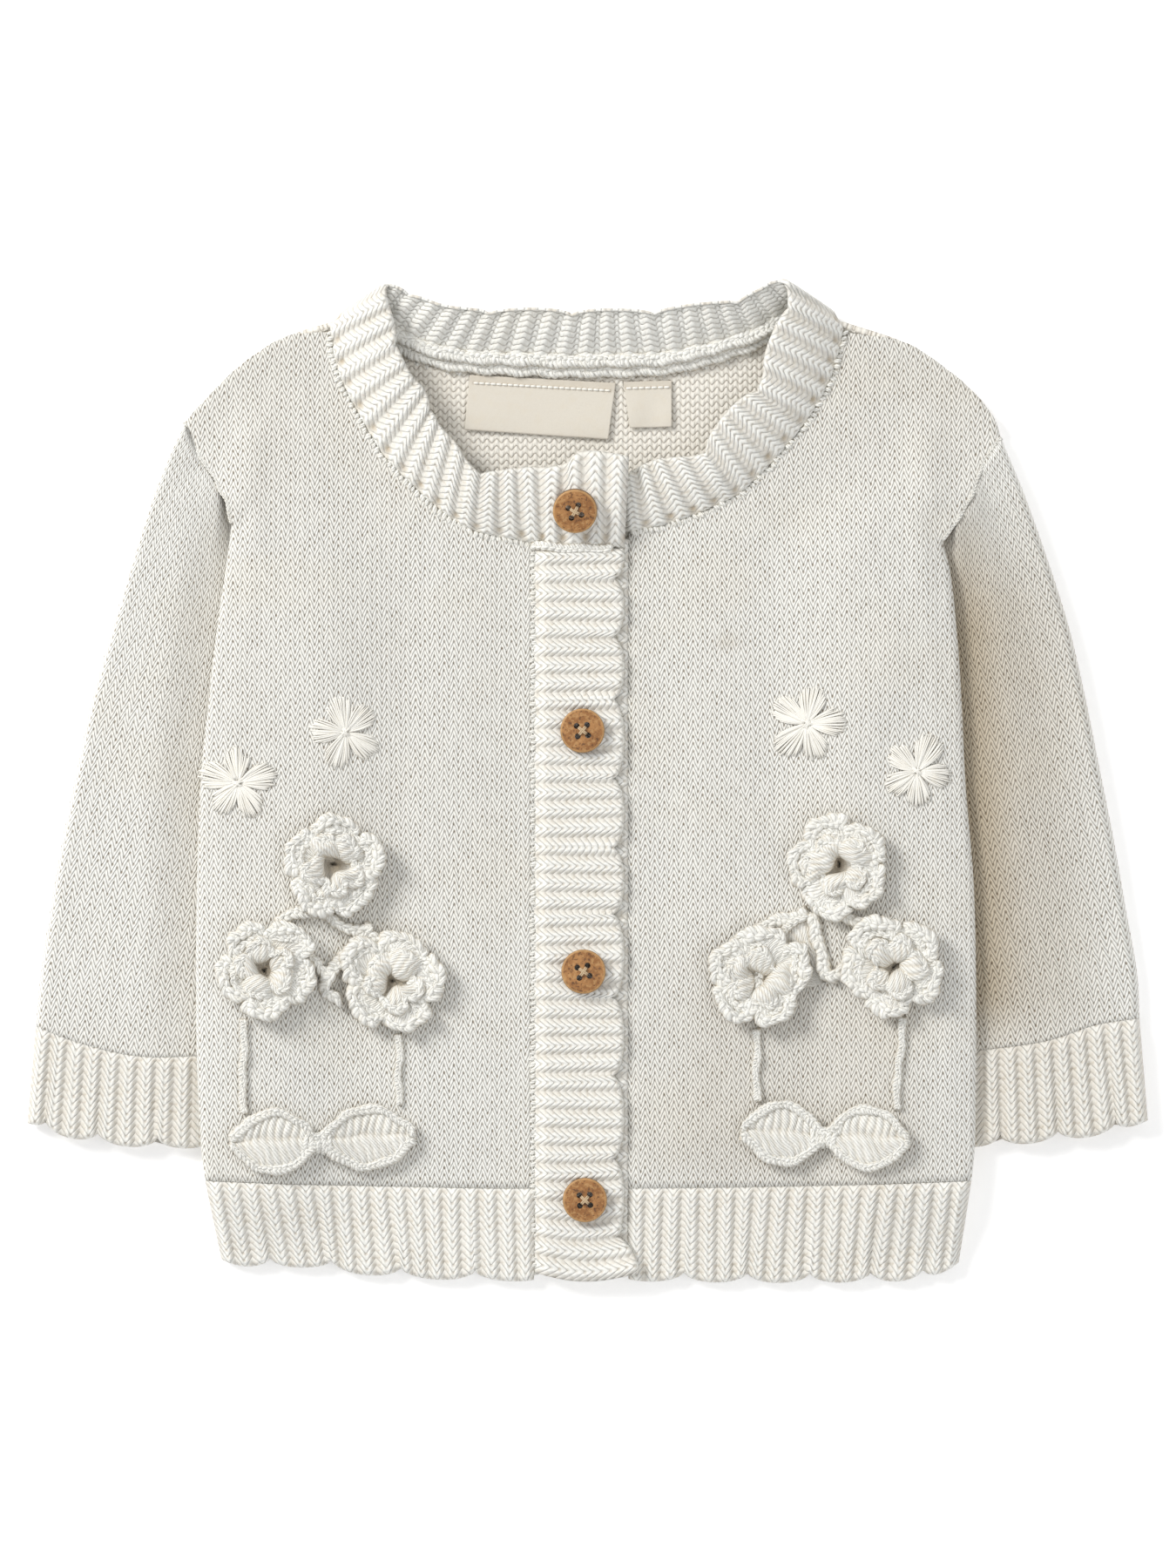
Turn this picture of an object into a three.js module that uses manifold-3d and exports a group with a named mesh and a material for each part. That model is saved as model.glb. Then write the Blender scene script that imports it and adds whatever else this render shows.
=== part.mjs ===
// A baby's knitted cotton cardigan, buttoned and lying on its back.
// Millimetres. +X is the wearer's left, +Y runs to the neck and +Z is up, away from the surface it lies on.
// The sleeves hang beside the body, and their inner edges are tucked under it.
// The origin is at the middle of the underside of the whole garment.

import * as THREE from "three";
import Module from "manifold-3d";
import { mergeVertices } from "three/addons/utils/BufferGeometryUtils.js";

const { smoothstep, lerp, clamp } = THREE.MathUtils;
const wasm = await Module();
wasm.setup();

// Cloth and seams
const CLOTH = 1.8; // thickness of the plain knit
const RIM = 1.0; // thickness left where a panel's edge is rounded
const SEAM = 0.3; // gap between two pieces that are joined
const NECK_GAP = 1.1; // gap between a panel's straight-sided neck edge and the curved neckband
const ARMHOLE_GAP = 0.6; // the same at the armhole, along X and along Y
const SEAT = 0.45; // gap between a front and what is sewn on it
const SLACK = 0.4; // air between the two layers of a flattened tube
const LAYERS = 2 * CLOTH + SLACK; // height of a flattened tube
const TUCK = LAYERS + SEAM; // how high the body lies where a sleeve is under it
const TUCK_RAMP = 30; // width over which the body comes down from the tucked sleeve
const TUCK_MARGIN = 7; // how far beyond the sleeve's hidden edge the body is still lifted
const LOFT = 1.1; // how far the fronts stand off the back, away from their edges

// Ribs and scallops
const RIB_PITCH = 5.2;
const RIB_HEIGHT = 0.7;
const NECK_RIB_PITCH = 6.2;
const RIB_PROFILE = [0, 0.9, 0.9]; // groove, then the two wales of a ridge, as shares of the rib height
const BAND_OVER = CLOTH + SEAM; // how far the buttonhole band lies above the button band

// Lengths along the body
const HEM_SEAM_Y = -113.8; // where the hem ribbing starts, at the sides
const HEM_SEAM_DIP = 2.5; // how much lower it starts in the middle
const BAND_SEAM_X = -15.5; // seam between the right front and the buttonhole band
const BUTTON_BAND = { from: -11, to: 11.6, top: 70.4, bottom: -140.6 };
const BAND = { to: 10.6, top: 67.6, bottom: -140.3, dip: 2.6, flare: 4.2, flareFrom: -124, rise: 2.1 };

// Half widths of the body from the hem to the shoulder
const BODY_SIDE = [
  { y: -146, right: 103.2, left: 105.2 },
  { y: -137.5, right: 105.3, left: 106.8 },
  { y: -120, right: 108.8, left: 109.2 },
  { y: -105, right: 111, left: 111 },
  { y: -75, right: 112.4, left: 111.5 },
  { y: -30, right: 112.3, left: 110.8 },
  { y: 0, right: 111.3, left: 108.4 },
  { y: 25, right: 108.8, left: 107.2 },
  { y: 45, right: 106.5, left: 105.8 },
  { y: 62, right: 104, left: 103.8 },
  { y: 75, right: 102.2, left: 101 },
];
// Half widths to the inner edge of a sleeve, which lies under the body
const SLEEVE_INNER = [
  { y: -106, right: 98, left: 98 },
  { y: -77, right: 98, left: 98 },
  { y: -50, right: 94.5, left: 94 },
  { y: -20, right: 89.5, left: 89 },
  { y: 20, right: 85, left: 85 },
  { y: 50, right: 84, left: 84 },
  { y: 66, right: 88, left: 87 },
  { y: 80, right: 96, left: 95 },
  { y: 100, right: 106, left: 105 },
];
// Half widths to the outer fold of a sleeve
const SLEEVE_OUTER = [
  { y: -70, right: 158.8, left: 158.6 },
  { y: -55, right: 157.5, left: 158 },
  { y: -35, right: 154.5, left: 154.5 },
  { y: -15, right: 151, left: 151 },
  { y: 5, right: 146.8, left: 147 },
  { y: 25, right: 142.5, left: 143 },
  { y: 45, right: 136.8, left: 138.3 },
  { y: 65, right: 131, left: 132 },
  { y: 85, right: 124.5, left: 124.8 },
  { y: 97, right: 119.6, left: 119.8 },
];
// Armhole seams from the underarm to the shoulder
const ARMHOLE = {
  right: [
    { x: 102.2, y: 75 },
    { x: 103.3, y: 80 },
    { x: 107.2, y: 87.8 },
    { x: 111.8, y: 94.8 },
    { x: 114.6, y: 100.6 },
    { x: 116, y: 104 },
  ],
  left: [
    { x: 101.6, y: 70 },
    { x: 106.8, y: 77 },
    { x: 110.4, y: 83.5 },
    { x: 113, y: 91.3 },
    { x: 116.2, y: 96 },
    { x: 118.8, y: 99.4 },
  ],
};
// Top folds of the shoulders from the armhole to the neckband
const SHOULDER = {
  right: [
    { x: 116, y: 104 },
    { x: 110.5, y: 110 },
    { x: 104, y: 116.8 },
    { x: 96.5, y: 123 },
    { x: 86, y: 129 },
    { x: 74.2, y: 132.9 },
  ],
  left: [
    { x: 118.8, y: 99.4 },
    { x: 116.5, y: 105.5 },
    { x: 110.5, y: 113 },
    { x: 101.5, y: 120.5 },
    { x: 91, y: 127 },
    { x: 73.4, y: 132.9 },
  ],
};
// Cuff seams and cuff edges from the outer fold to the inner one
const CUFF = {
  right: {
    seam: [
      { x: 158.8, y: -69.6 },
      { x: 146.3, y: -74.3 },
      { x: 128.8, y: -78.2 },
      { x: 98, y: -77.5 },
    ],
    edge: [
      { x: 161.2, y: -97.6 },
      { x: 153.5, y: -100.6 },
      { x: 131.3, y: -104.3 },
      { x: 98, y: -104.6 },
    ],
    notches: [0.09, 0.33, 0.6, 0.86],
  },
  left: {
    seam: [
      { x: 158.6, y: -67.3 },
      { x: 145.8, y: -69.3 },
      { x: 131.8, y: -73.8 },
      { x: 98, y: -78 },
    ],
    edge: [
      { x: 161, y: -96.6 },
      { x: 154, y: -99.6 },
      { x: 126.3, y: -103.4 },
      { x: 98, y: -105 },
    ],
    notches: [0.16, 0.42, 0.68, 0.92],
  },
};
const CUFF_NOTCH = 3.4;

// The hem's lower edge, without its notches, and where the notches are
const HEM_EDGE = [
  { x: -105.4, y: -137.6 },
  { x: -96, y: -138.9 },
  { x: -78, y: -139.2 },
  { x: -66, y: -141 },
  { x: -40, y: -142.6 },
  { x: -16, y: -143 },
  { x: 12, y: -143 },
  { x: 50, y: -143.4 },
  { x: 80, y: -143.2 },
  { x: 98, y: -142 },
  { x: 106.6, y: -138 },
];
const HEM_NOTCHES = [-108, -91.3, -73.8, -53.8, -32.5, -10, 8, 27.5, 45.8, 63.8, 81.3, 96.3, 110];
const HEM_NOTCH = 3.2;
// Notches in the free edge of the buttonhole band
const BAND_NOTCHES = [72, 59, 42.3, 24.3, 1.5, -18.3, -37.3, -61.3, -83.8, -107.5, -130, -146];
const BAND_NOTCH = 3.6;

// The neckband from its upper front end, round the neck, to its lower front end. Each row has the seam, the
// free edge, whether the seam is on a front (1) or on the back (0), how far it is lifted there, and how high
// the free edge stands.
const NECKBAND = [
  { seamX: 10.5, seamY: 68, edgeX: 11.8, edgeY: 94, onFront: 1, lift: 2.2, edgeZ: 12 },
  { seamX: -0.8, seamY: 67.9, edgeX: -1.8, edgeY: 95.8, onFront: 1, lift: 2.2, edgeZ: 11.3 },
  { seamX: -9.8, seamY: 68.3, edgeX: -9, edgeY: 91.8, onFront: 1, lift: 1.9, edgeZ: 10.4 },
  { seamX: -15.8, seamY: 69.3, edgeX: -16.8, edgeY: 90.9, onFront: 1, lift: 0.6, edgeZ: 10 },
  { seamX: -33, seamY: 72.8, edgeX: -31.5, edgeY: 91, onFront: 1, lift: 0, edgeZ: 10 },
  { seamX: -43.3, seamY: 79.3, edgeX: -38.5, edgeY: 98.8, onFront: 1, lift: 0, edgeZ: 10 },
  { seamX: -49, seamY: 84.3, edgeX: -42.3, edgeY: 103.2, onFront: 1, lift: 0, edgeZ: 10.2 },
  { seamX: -58.3, seamY: 93.8, edgeX: -45.8, edgeY: 112.3, onFront: 1, lift: 0, edgeZ: 10.6 },
  { seamX: -64.3, seamY: 103.3, edgeX: -50.3, edgeY: 117, onFront: 1, lift: 0, edgeZ: 11 },
  { seamX: -69.3, seamY: 112.5, edgeX: -52.8, edgeY: 122.8, onFront: 1, lift: 0, edgeZ: 11.5 },
  { seamX: -72.6, seamY: 121, edgeX: -54.5, edgeY: 130.5, onFront: 1, lift: 0, edgeZ: 12 },
  { seamX: -73.9, seamY: 130, edgeX: -57.2, edgeY: 138.5, onFront: 0.9, lift: 0, edgeZ: 12.6 },
  { seamX: -72.4, seamY: 133.4, edgeX: -57.4, edgeY: 142.2, onFront: 0.5, lift: 0.2, edgeZ: 12.8 },
  { seamX: -69, seamY: 133.4, edgeX: -54.6, edgeY: 142.8, onFront: 0.1, lift: 0.4, edgeZ: 12.8 },
  { seamX: -61.5, seamY: 129, edgeX: -49.5, edgeY: 141, onFront: 0, lift: 0.3, edgeZ: 12.4 },
  { seamX: -50, seamY: 122.2, edgeX: -40.5, edgeY: 137.2, onFront: 0, lift: 0.3, edgeZ: 12 },
  { seamX: -36.3, seamY: 118.8, edgeX: -28, edgeY: 136.6, onFront: 0, lift: 0.3, edgeZ: 12 },
  { seamX: -12, seamY: 117.4, edgeX: -8, edgeY: 136.4, onFront: 0, lift: 0.3, edgeZ: 12 },
  { seamX: 13.8, seamY: 117.5, edgeX: 12, edgeY: 136.3, onFront: 0, lift: 0.3, edgeZ: 12 },
  { seamX: 30, seamY: 119.5, edgeX: 26, edgeY: 137.2, onFront: 0, lift: 0.3, edgeZ: 12 },
  { seamX: 46.8, seamY: 125, edgeX: 40.5, edgeY: 139.2, onFront: 0, lift: 0.3, edgeZ: 12.2 },
  { seamX: 59, seamY: 131, edgeX: 49, edgeY: 142, onFront: 0, lift: 0.3, edgeZ: 12.6 },
  { seamX: 67, seamY: 134, edgeX: 52.8, edgeY: 144, onFront: 0.1, lift: 0.4, edgeZ: 13 },
  { seamX: 71.5, seamY: 133.6, edgeX: 55.6, edgeY: 143.4, onFront: 0.5, lift: 0.2, edgeZ: 13 },
  { seamX: 73.1, seamY: 130, edgeX: 56.4, edgeY: 139.4, onFront: 0.9, lift: 0, edgeZ: 12.6 },
  { seamX: 71.4, seamY: 121.5, edgeX: 53, edgeY: 130.5, onFront: 1, lift: 0, edgeZ: 12 },
  { seamX: 68.8, seamY: 114.5, edgeX: 50.6, edgeY: 123.4, onFront: 1, lift: 0, edgeZ: 11.4 },
  { seamX: 64.8, seamY: 107.3, edgeX: 49, edgeY: 115.8, onFront: 1, lift: 0, edgeZ: 11 },
  { seamX: 57.3, seamY: 97.3, edgeX: 42.6, edgeY: 110, onFront: 1, lift: 0, edgeZ: 10.6 },
  { seamX: 45.8, seamY: 85.3, edgeX: 34.6, edgeY: 100.4, onFront: 1, lift: 0, edgeZ: 10 },
  { seamX: 39.5, seamY: 81.3, edgeX: 31, edgeY: 95.2, onFront: 1, lift: 0, edgeZ: 9.6 },
  { seamX: 27.3, seamY: 76.1, edgeX: 19.8, edgeY: 93.2, onFront: 1, lift: 0, edgeZ: 8.6 },
  { seamX: 13, seamY: 72.8, edgeX: 10.5, edgeY: 90.9, onFront: 1, lift: 0, edgeZ: 7.6 },
  { seamX: -8.8, seamY: 71.2, edgeX: -9.8, edgeY: 90, onFront: 1, lift: 0, edgeZ: 7.2 },
];
// First and last row that each panel's neck edge follows
const NECK_ROWS = { right: [3, 12], back: [12, 23], left: [23, 32] };
const NECK_NOTCH = 2.2;
const NECK_SCALLOP = 26;
const NECK_SCALLOP_PHASE = 0.35;
const NECK_ARCH = 1.2; // how much the band arches between its edges
const NECK_PLAIN = { from: 22, to: 28 }; // the lapped ends have no ribs on the sides that face each other

// Soft folds in the fronts: a ridge from one point to the other, its spread to each side and its lift
const FOLDS = [
  { fromX: -96, fromY: 112, toX: -99, toY: 70, spread: 6, lift: 1.8 },
  { fromX: 96, fromY: 112, toX: 98.5, toY: 62, spread: 6, lift: 2 },
  { fromX: -88, fromY: 60, toX: -70, toY: 20, spread: 9, lift: 0.8 },
  { fromX: -40, fromY: 62, toX: -46, toY: -20, spread: 12, lift: 0.7 },
  { fromX: 92, fromY: 58, toX: 78, toY: 8, spread: 9, lift: 0.8 },
  { fromX: 44, fromY: 60, toX: 40, toY: -30, spread: 12, lift: 0.7 },
  { fromX: -84, fromY: -20, toX: -104, toY: -76, spread: 11, lift: 0.6 },
  { fromX: 88, fromY: -24, toX: 103, toY: -84, spread: 11, lift: 0.6 },
];

// Buttons
const BUTTON = { radius: 6.35, rimRadius: 5.7, thickness: 2.5, bevel: 0.6 };
const BUTTON_HOLES = { count: 4, radius: 0.85, spread: 2.1 };
const BUTTON_TILT_CLEARANCE = 0.25; // extra height of the top button, whose seat is curved
const BUTTONS = [
  { x: -3.6, y: 79, turn: 0.3 },
  { x: -1.6, y: 15.3, turn: 0.1 },
  { x: -1.3, y: -53.8, turn: 0.2 },
  { x: -0.9, y: -119.3, turn: 0.05 },
];

// Crochet roses: the outer petals reach further towards the other roses of their group
const ROSE_HEIGHT = 5.6;
const ROSES = [
  { name: "rose_right_top", x: -72.8, y: -23.2, radius: 14.6, turn: 0.3, reach: 1.6, towards: -1.6 },
  { name: "rose_right_outer", x: -92.3, y: -53, radius: 14.4, turn: 0.9, reach: 2.2, towards: 0.6 },
  { name: "rose_right_inner", x: -55.8, y: -56.8, radius: 14.8, turn: 0.1, reach: 2.2, towards: 2.4 },
  { name: "rose_left_top", x: 71.8, y: -23.2, radius: 14.6, turn: 0.6, reach: 1.6, towards: -1.6 },
  { name: "rose_left_inner", x: 48.8, y: -55.6, radius: 14.6, turn: 0.2, reach: 2.6, towards: 0.7 },
  { name: "rose_left_outer", x: 87.5, y: -52.2, radius: 14.6, turn: 0.8, reach: 2.2, towards: 2.5 },
];
const PETALS = 5;

// Crochet leaf pairs, each from its outer tip over its middle to its inner tip, and crochet stems
const LEAF = { halfWidth: 9.6, height: 1.9, waist: 0.7, fullness: 0.75 };
const LEAF_PAIRS = [
  { name: "leaves_right", tipA: [-103, -102.8], middle: [-77.3, -102.2], tipB: [-49, -100.9] },
  { name: "leaves_left", tipA: [43.8, -99.6], middle: [67.8, -101], tipB: [92.3, -102] },
];
const STEM = { halfWidth: 1.25, height: 1.3 };
const STEMS = [
  { name: "stem_right_outer", x: -98.8, top: -69, bottom: -94.2, lean: 0 },
  { name: "stem_right_inner", x: -54.5, top: -73.4, bottom: -91.8, lean: 0.4 },
  { name: "stem_left_inner", x: 48.3, top: -72, bottom: -91, lean: 0.3 },
  { name: "stem_left_outer", x: 90, top: -68.5, bottom: -93.4, lean: -1.6 },
];

// Woven labels inside the back, both bare
const LABEL_HEIGHT = 0.7;
const LABELS = [
  { name: "label_main", corners: [[-35.5, 101.8], [5.8, 99], [8, 115.3], [-34, 117.6]] },
  { name: "label_size", corners: [[12, 102.3], [24, 102.6], [24, 116], [10.2, 115.6]] },
];

const SIDES = [
  { name: "right", sign: -1 },
  { name: "left", sign: 1 },
];

// Finishes
const KNIT = { color: 0xece9e0, roughness: 0.95, metalness: 0 };
const CROCHET = { color: 0xf1eee5, roughness: 0.95, metalness: 0 };
const COCONUT = { color: 0xb98a58, roughness: 0.55, metalness: 0 };
const TAPE = { color: 0xede6da, roughness: 0.85, metalness: 0 };

// Reads one column of a table against another, with a smooth curve through the rows
function lookup(rows, from, to, at) {
  const last = rows.length - 1;
  let i = 0;
  while (i < last - 1 && at > rows[i + 1][from]) i += 1;
  const [a, b] = [rows[i], rows[i + 1]];
  const before = rows[Math.max(i - 1, 0)];
  const after = rows[Math.min(i + 2, last)];
  const span = b[from] - a[from];
  const t = clamp((at - a[from]) / span, 0, 1);
  const slopeA = ((b[to] - before[to]) / (b[from] - before[from])) * span;
  const slopeB = ((after[to] - a[to]) / (after[from] - a[from])) * span;
  const t2 = t * t;
  const t3 = t2 * t;
  return (
    (2 * t3 - 3 * t2 + 1) * a[to] +
    (t3 - 2 * t2 + t) * slopeA +
    (3 * t2 - 2 * t3) * b[to] +
    (t3 - t2) * slopeB
  );
}

// A smooth curve through plan points, read by its share of the length
function curveThrough(points) {
  const curve = new THREE.CatmullRomCurve3(points, false, "centripetal");
  return (t) => curve.getPointAt(clamp(t, 0, 1));
}

// Plan points of one side from rows of half widths
function planPoints(rows, sign) {
  return rows.map((p) => new THREE.Vector3(sign * p.x, p.y, 0));
}

// Two edges as one, the first of them up to a share of the whole
function joined(first, second, share) {
  return (t) => (t <= share ? first(t / share) : second((t - share) / (1 - share)));
}

// A patch between four edges: bottom and top run along u, left and right along v
function patch(bottom, top, left, right) {
  const corners = [bottom(0), bottom(1), top(0), top(1)];
  return (u, v) => {
    const p = new THREE.Vector3();
    p.addScaledVector(bottom(u), 1 - v).addScaledVector(top(u), v);
    p.addScaledVector(left(v), 1 - u).addScaledVector(right(v), u);
    p.addScaledVector(corners[0], -(1 - u) * (1 - v)).addScaledVector(corners[1], -u * (1 - v));
    return p.addScaledVector(corners[2], -(1 - u) * v).addScaledVector(corners[3], -u * v);
  };
}

// Even shares from 0 to 1
function shares(count) {
  return Array.from({ length: count + 1 }, (_, i) => i / count);
}

function bodyHalfWidth(side, y) {
  return lookup(BODY_SIDE, "y", side, y);
}

function sideOf(x) {
  return x < 0 ? "right" : "left";
}

// Height of the back panel's underside: it lies on the tucked sleeves at the sides, and on the surface
// between them
function backUnder(x, y) {
  const inner = lookup(SLEEVE_INNER, "y", sideOf(x), clamp(y, -106, 100)) - TUCK_MARGIN;
  const across = smoothstep(Math.abs(x), inner - TUCK_RAMP, inner);
  const along = (1 - smoothstep(y, 70, 106)) * smoothstep(y, -139, -115);
  return TUCK * across * along;
}

function foldLift(x, y) {
  return FOLDS.reduce((sum, fold) => {
    const dx = fold.toX - fold.fromX;
    const dy = fold.toY - fold.fromY;
    const share = ((x - fold.fromX) * dx + (y - fold.fromY) * dy) / (dx * dx + dy * dy);
    const near = clamp(share, 0, 1);
    const off = Math.hypot(x - fold.fromX - near * dx, y - fold.fromY - near * dy);
    const taper = Math.sin(Math.PI * clamp(0.12 + 0.76 * share, 0, 1));
    return sum + fold.lift * taper * Math.exp(-((off / fold.spread) ** 2));
  }, 0);
}

// Height of the fronts' underside: on the back at the side folds and along the button bands, and lofted
// between them
function frontUnder(x, y) {
  const inside = bodyHalfWidth(sideOf(x), clamp(y, -146, 75)) - Math.abs(x);
  const fromSide = Math.max(smoothstep(inside, 0, 9), smoothstep(y, 70, 84));
  const fromBand = smoothstep(Math.abs(x), 17, 34);
  const fromHem = smoothstep(y, -116, -96) * (1 - smoothstep(y, 96, 118));
  const loft = (LOFT + foldLift(x, y)) * fromSide * fromBand * fromHem;
  return backUnder(x, y) + CLOTH + SLACK + loft;
}

function frontTop(x, y) {
  return frontUnder(x, y) + CLOTH;
}

// Height of a rib across its wales, by the number of the column
function ribAt(column) {
  return RIB_PROFILE[column % RIB_PROFILE.length];
}

// Depth of a scalloped edge at a place between two notches, as a share of the notch
function scallop(at, notches) {
  const sorted = [...notches].sort((a, b) => a - b);
  let i = 0;
  while (i < sorted.length - 2 && at > sorted[i + 1]) i += 1;
  const f = clamp((at - sorted[i]) / (sorted[i + 1] - sorted[i]), 0, 1);
  return 1 - Math.sqrt(Math.max(0, 1 - (2 * f - 1) ** 2));
}

// Joins two rims of different numbers of points with triangles. Each rim is a list of { index, at }
function zip(outer, inner, faces) {
  let i = 0;
  let j = 0;
  while (i < outer.length - 1 || j < inner.length - 1) {
    const nextOuter = i < outer.length - 1 ? outer[i + 1].at : Infinity;
    const nextInner = j < inner.length - 1 ? inner[j + 1].at : Infinity;
    if (nextOuter <= nextInner) {
      faces.push(outer[i + 1].index, outer[i].index, inner[j].index);
      i += 1;
    } else {
      faces.push(inner[j].index, inner[j + 1].index, outer[i].index);
      j += 1;
    }
  }
}

function turnFaces(faces) {
  for (let i = 0; i < faces.length; i += 3) {
    [faces[i + 1], faces[i + 2]] = [faces[i + 2], faces[i + 1]];
  }
}

// A closed mesh from points and triangles, with its faces turned outwards
function solid(points, faces, name, finish) {
  let volume = 0;
  for (let i = 0; i < faces.length; i += 3) {
    const [a, b, c] = [points[faces[i]], points[faces[i + 1]], points[faces[i + 2]]];
    volume += a.dot(new THREE.Vector3().crossVectors(b, c));
  }
  if (volume < 0) turnFaces(faces);
  const geometry = new THREE.BufferGeometry().setFromPoints(points);
  geometry.setIndex(faces);
  return meshOf(geometry, name, finish);
}

function meshOf(geometry, name, finish) {
  geometry.computeVertexNormals();
  const mesh = new THREE.Mesh(geometry, new THREE.MeshStandardMaterial(finish));
  mesh.name = name;
  return mesh;
}

// A wall of cloth: a fine outer face over a plainer inner one, joined round the four edges
function wall({ name, us, vs, outer, innerUs, innerVs, inner, finish = KNIT }) {
  const points = [];
  const faces = [];
  const grid = (columns, rows, at, up) => {
    const start = points.length;
    rows.forEach((v, j) => columns.forEach((u, i) => points.push(at(u, v, i, j))));
    const index = (i, j) => start + j * columns.length + i;
    for (let j = 0; j < rows.length - 1; j += 1)
      for (let i = 0; i < columns.length - 1; i += 1) {
        const [a, b, c, d] = [index(i, j), index(i + 1, j), index(i + 1, j + 1), index(i, j + 1)];
        if (up) faces.push(a, b, c, a, c, d);
        else faces.push(a, c, b, a, d, c);
      }
    const along = (j) => columns.map((u, i) => ({ index: index(i, j), at: u }));
    const across = (i) => rows.map((v, j) => ({ index: index(i, j), at: v }));
    const turned = (rim) => rim.map((p) => ({ index: p.index, at: 1 - p.at })).reverse();
    return [
      along(0),
      across(columns.length - 1),
      turned(along(rows.length - 1)),
      turned(across(0)),
    ];
  };
  const outerRims = grid(us, vs, outer, true);
  const innerRims = grid(innerUs, innerVs, inner, false);
  outerRims.forEach((rim, k) => zip(rim, innerRims[k], faces));
  return solid(points, faces, name, finish);
}

// A flattened tube of cloth. A ring is a list of { s, side, at }: s runs across the tube, and side is 1 on
// top and -1 below
function tube({ name, ring, innerRing, vs, innerVs, outer, inner }) {
  const points = [];
  const faces = [];
  const skin = (stations, rows, at, out) => {
    const start = points.length;
    rows.forEach((v) => stations.forEach((station, i) => points.push(at(station, v, i))));
    const index = (i, j) => start + j * stations.length + (i % stations.length);
    for (let j = 0; j < rows.length - 1; j += 1)
      for (let i = 0; i < stations.length; i += 1) {
        const [a, b, c, d] = [index(i, j), index(i + 1, j), index(i + 1, j + 1), index(i, j + 1)];
        if (out) faces.push(a, b, c, a, c, d);
        else faces.push(a, c, b, a, d, c);
      }
    const loop = (j) => [
      ...stations.map((station, i) => ({ index: index(i, j), at: station.at })),
      { index: index(0, j), at: 1 },
    ];
    const turned = (rim) => rim.map((p) => ({ index: p.index, at: 1 - p.at })).reverse();
    return [loop(0), turned(loop(rows.length - 1))];
  };
  const outerRims = skin(ring, vs, outer, true);
  const innerRims = skin(innerRing, innerVs, inner, false);
  outerRims.forEach((rim, k) => zip(rim, innerRims[k], faces));
  return solid(points, faces, name, KNIT);
}

// Stations round a flattened tube, from its outer fold over the top and back below
function ringOf(topShares, underShares) {
  const top = topShares.map((s) => ({ s, side: 1, at: s / 2 }));
  const under = underShares.map((s) => ({ s, side: -1, at: 1 - s / 2 }));
  return [...top, ...under];
}

// The front and back panels of the body
function sideEdge(side) {
  const heights = BODY_SIDE.filter((row) => row.y > -110 && row.y < ARMHOLE[side.name][0].y - 4);
  const rows = [
    { x: bodyHalfWidth(side.name, HEM_SEAM_Y), y: HEM_SEAM_Y },
    ...heights.map((row) => ({ x: row[side.name], y: row.y })),
    ARMHOLE[side.name][0],
  ];
  return curveThrough(planPoints(rows, side.sign));
}

function hemSeam(fromX, toX) {
  return (t) => {
    const x = lerp(fromX, toX, t);
    return new THREE.Vector3(x, HEM_SEAM_Y - HEM_SEAM_DIP * (1 - (x / 112) ** 2), 0);
  };
}

// The neckband's seam or free edge in plan, read by its share of the rows
function neckCurve(x, y) {
  const points = NECKBAND.map((row) => new THREE.Vector3(row[x], row[y], 0));
  return new THREE.CatmullRomCurve3(points, false, "catmullrom", 0.5);
}

// A neck edge of a panel: the neckband's seam between two rows, moved out by the gap
function neckEdge([first, last]) {
  const seam = neckCurve("seamX", "seamY");
  const edge = neckCurve("edgeX", "edgeY");
  const points = shares(4 * (last - first)).map((f) => {
    const t = lerp(first, last, f) / (NECKBAND.length - 1);
    const p = seam.getPoint(t);
    return p.add(p.clone().sub(edge.getPoint(t)).setLength(NECK_GAP));
  });
  return curveThrough(points);
}

const NECK_SHARE = 4 / 18; // share of a front's width that is shoulder rather than neck
const UNDERARM_SHARE = 15 / 20; // share of a panel's height that is side rather than armhole

function frontPanel(side) {
  const sign = side.sign;
  const bandX = sign < 0 ? BAND_SEAM_X - SEAM : BUTTON_BAND.to + SEAM;
  const neckRows = neckEdge(NECK_ROWS[side.name]);
  const neck = sign < 0 ? (t) => neckRows(1 - t) : neckRows;
  const shoulderEnd = neck(0);
  const shoulderRows = planPoints(SHOULDER[side.name].slice(0, -1), sign);
  const shoulder = curveThrough([...shoulderRows, shoulderEnd]);
  const armhole = curveThrough(planPoints(ARMHOLE[side.name], sign));
  const outside = joined(sideEdge(side), armhole, UNDERARM_SHARE);
  const bottom = hemSeam(outside(0).x, bandX);
  const bandTop = new THREE.Vector3(bandX, neck(1).y, 0);
  const inside = (t) => new THREE.Vector3().lerpVectors(bottom(1), bandTop, t);
  const neckToBand = (t) => (t === 1 ? bandTop : neck(t));
  const plan = patch(bottom, joined(shoulder, neckToBand, NECK_SHARE), outside, inside);
  const rounded = (u, v) => u === 0 || (v === 1 && u <= NECK_SHARE);
  return wall({
    name: "front_" + side.name,
    us: shares(18),
    vs: shares(20),
    outer: (u, v) => {
      const p = plan(u, v);
      return p.setZ(frontUnder(p.x, p.y) + (rounded(u, v) ? RIM : CLOTH));
    },
    innerUs: shares(18),
    innerVs: shares(20).filter((_, i) => i % 3 === 0 || i === 20),
    inner: (u, v) => {
      const p = plan(u, v);
      return p.setZ(frontUnder(p.x, p.y));
    },
  });
}

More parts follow.
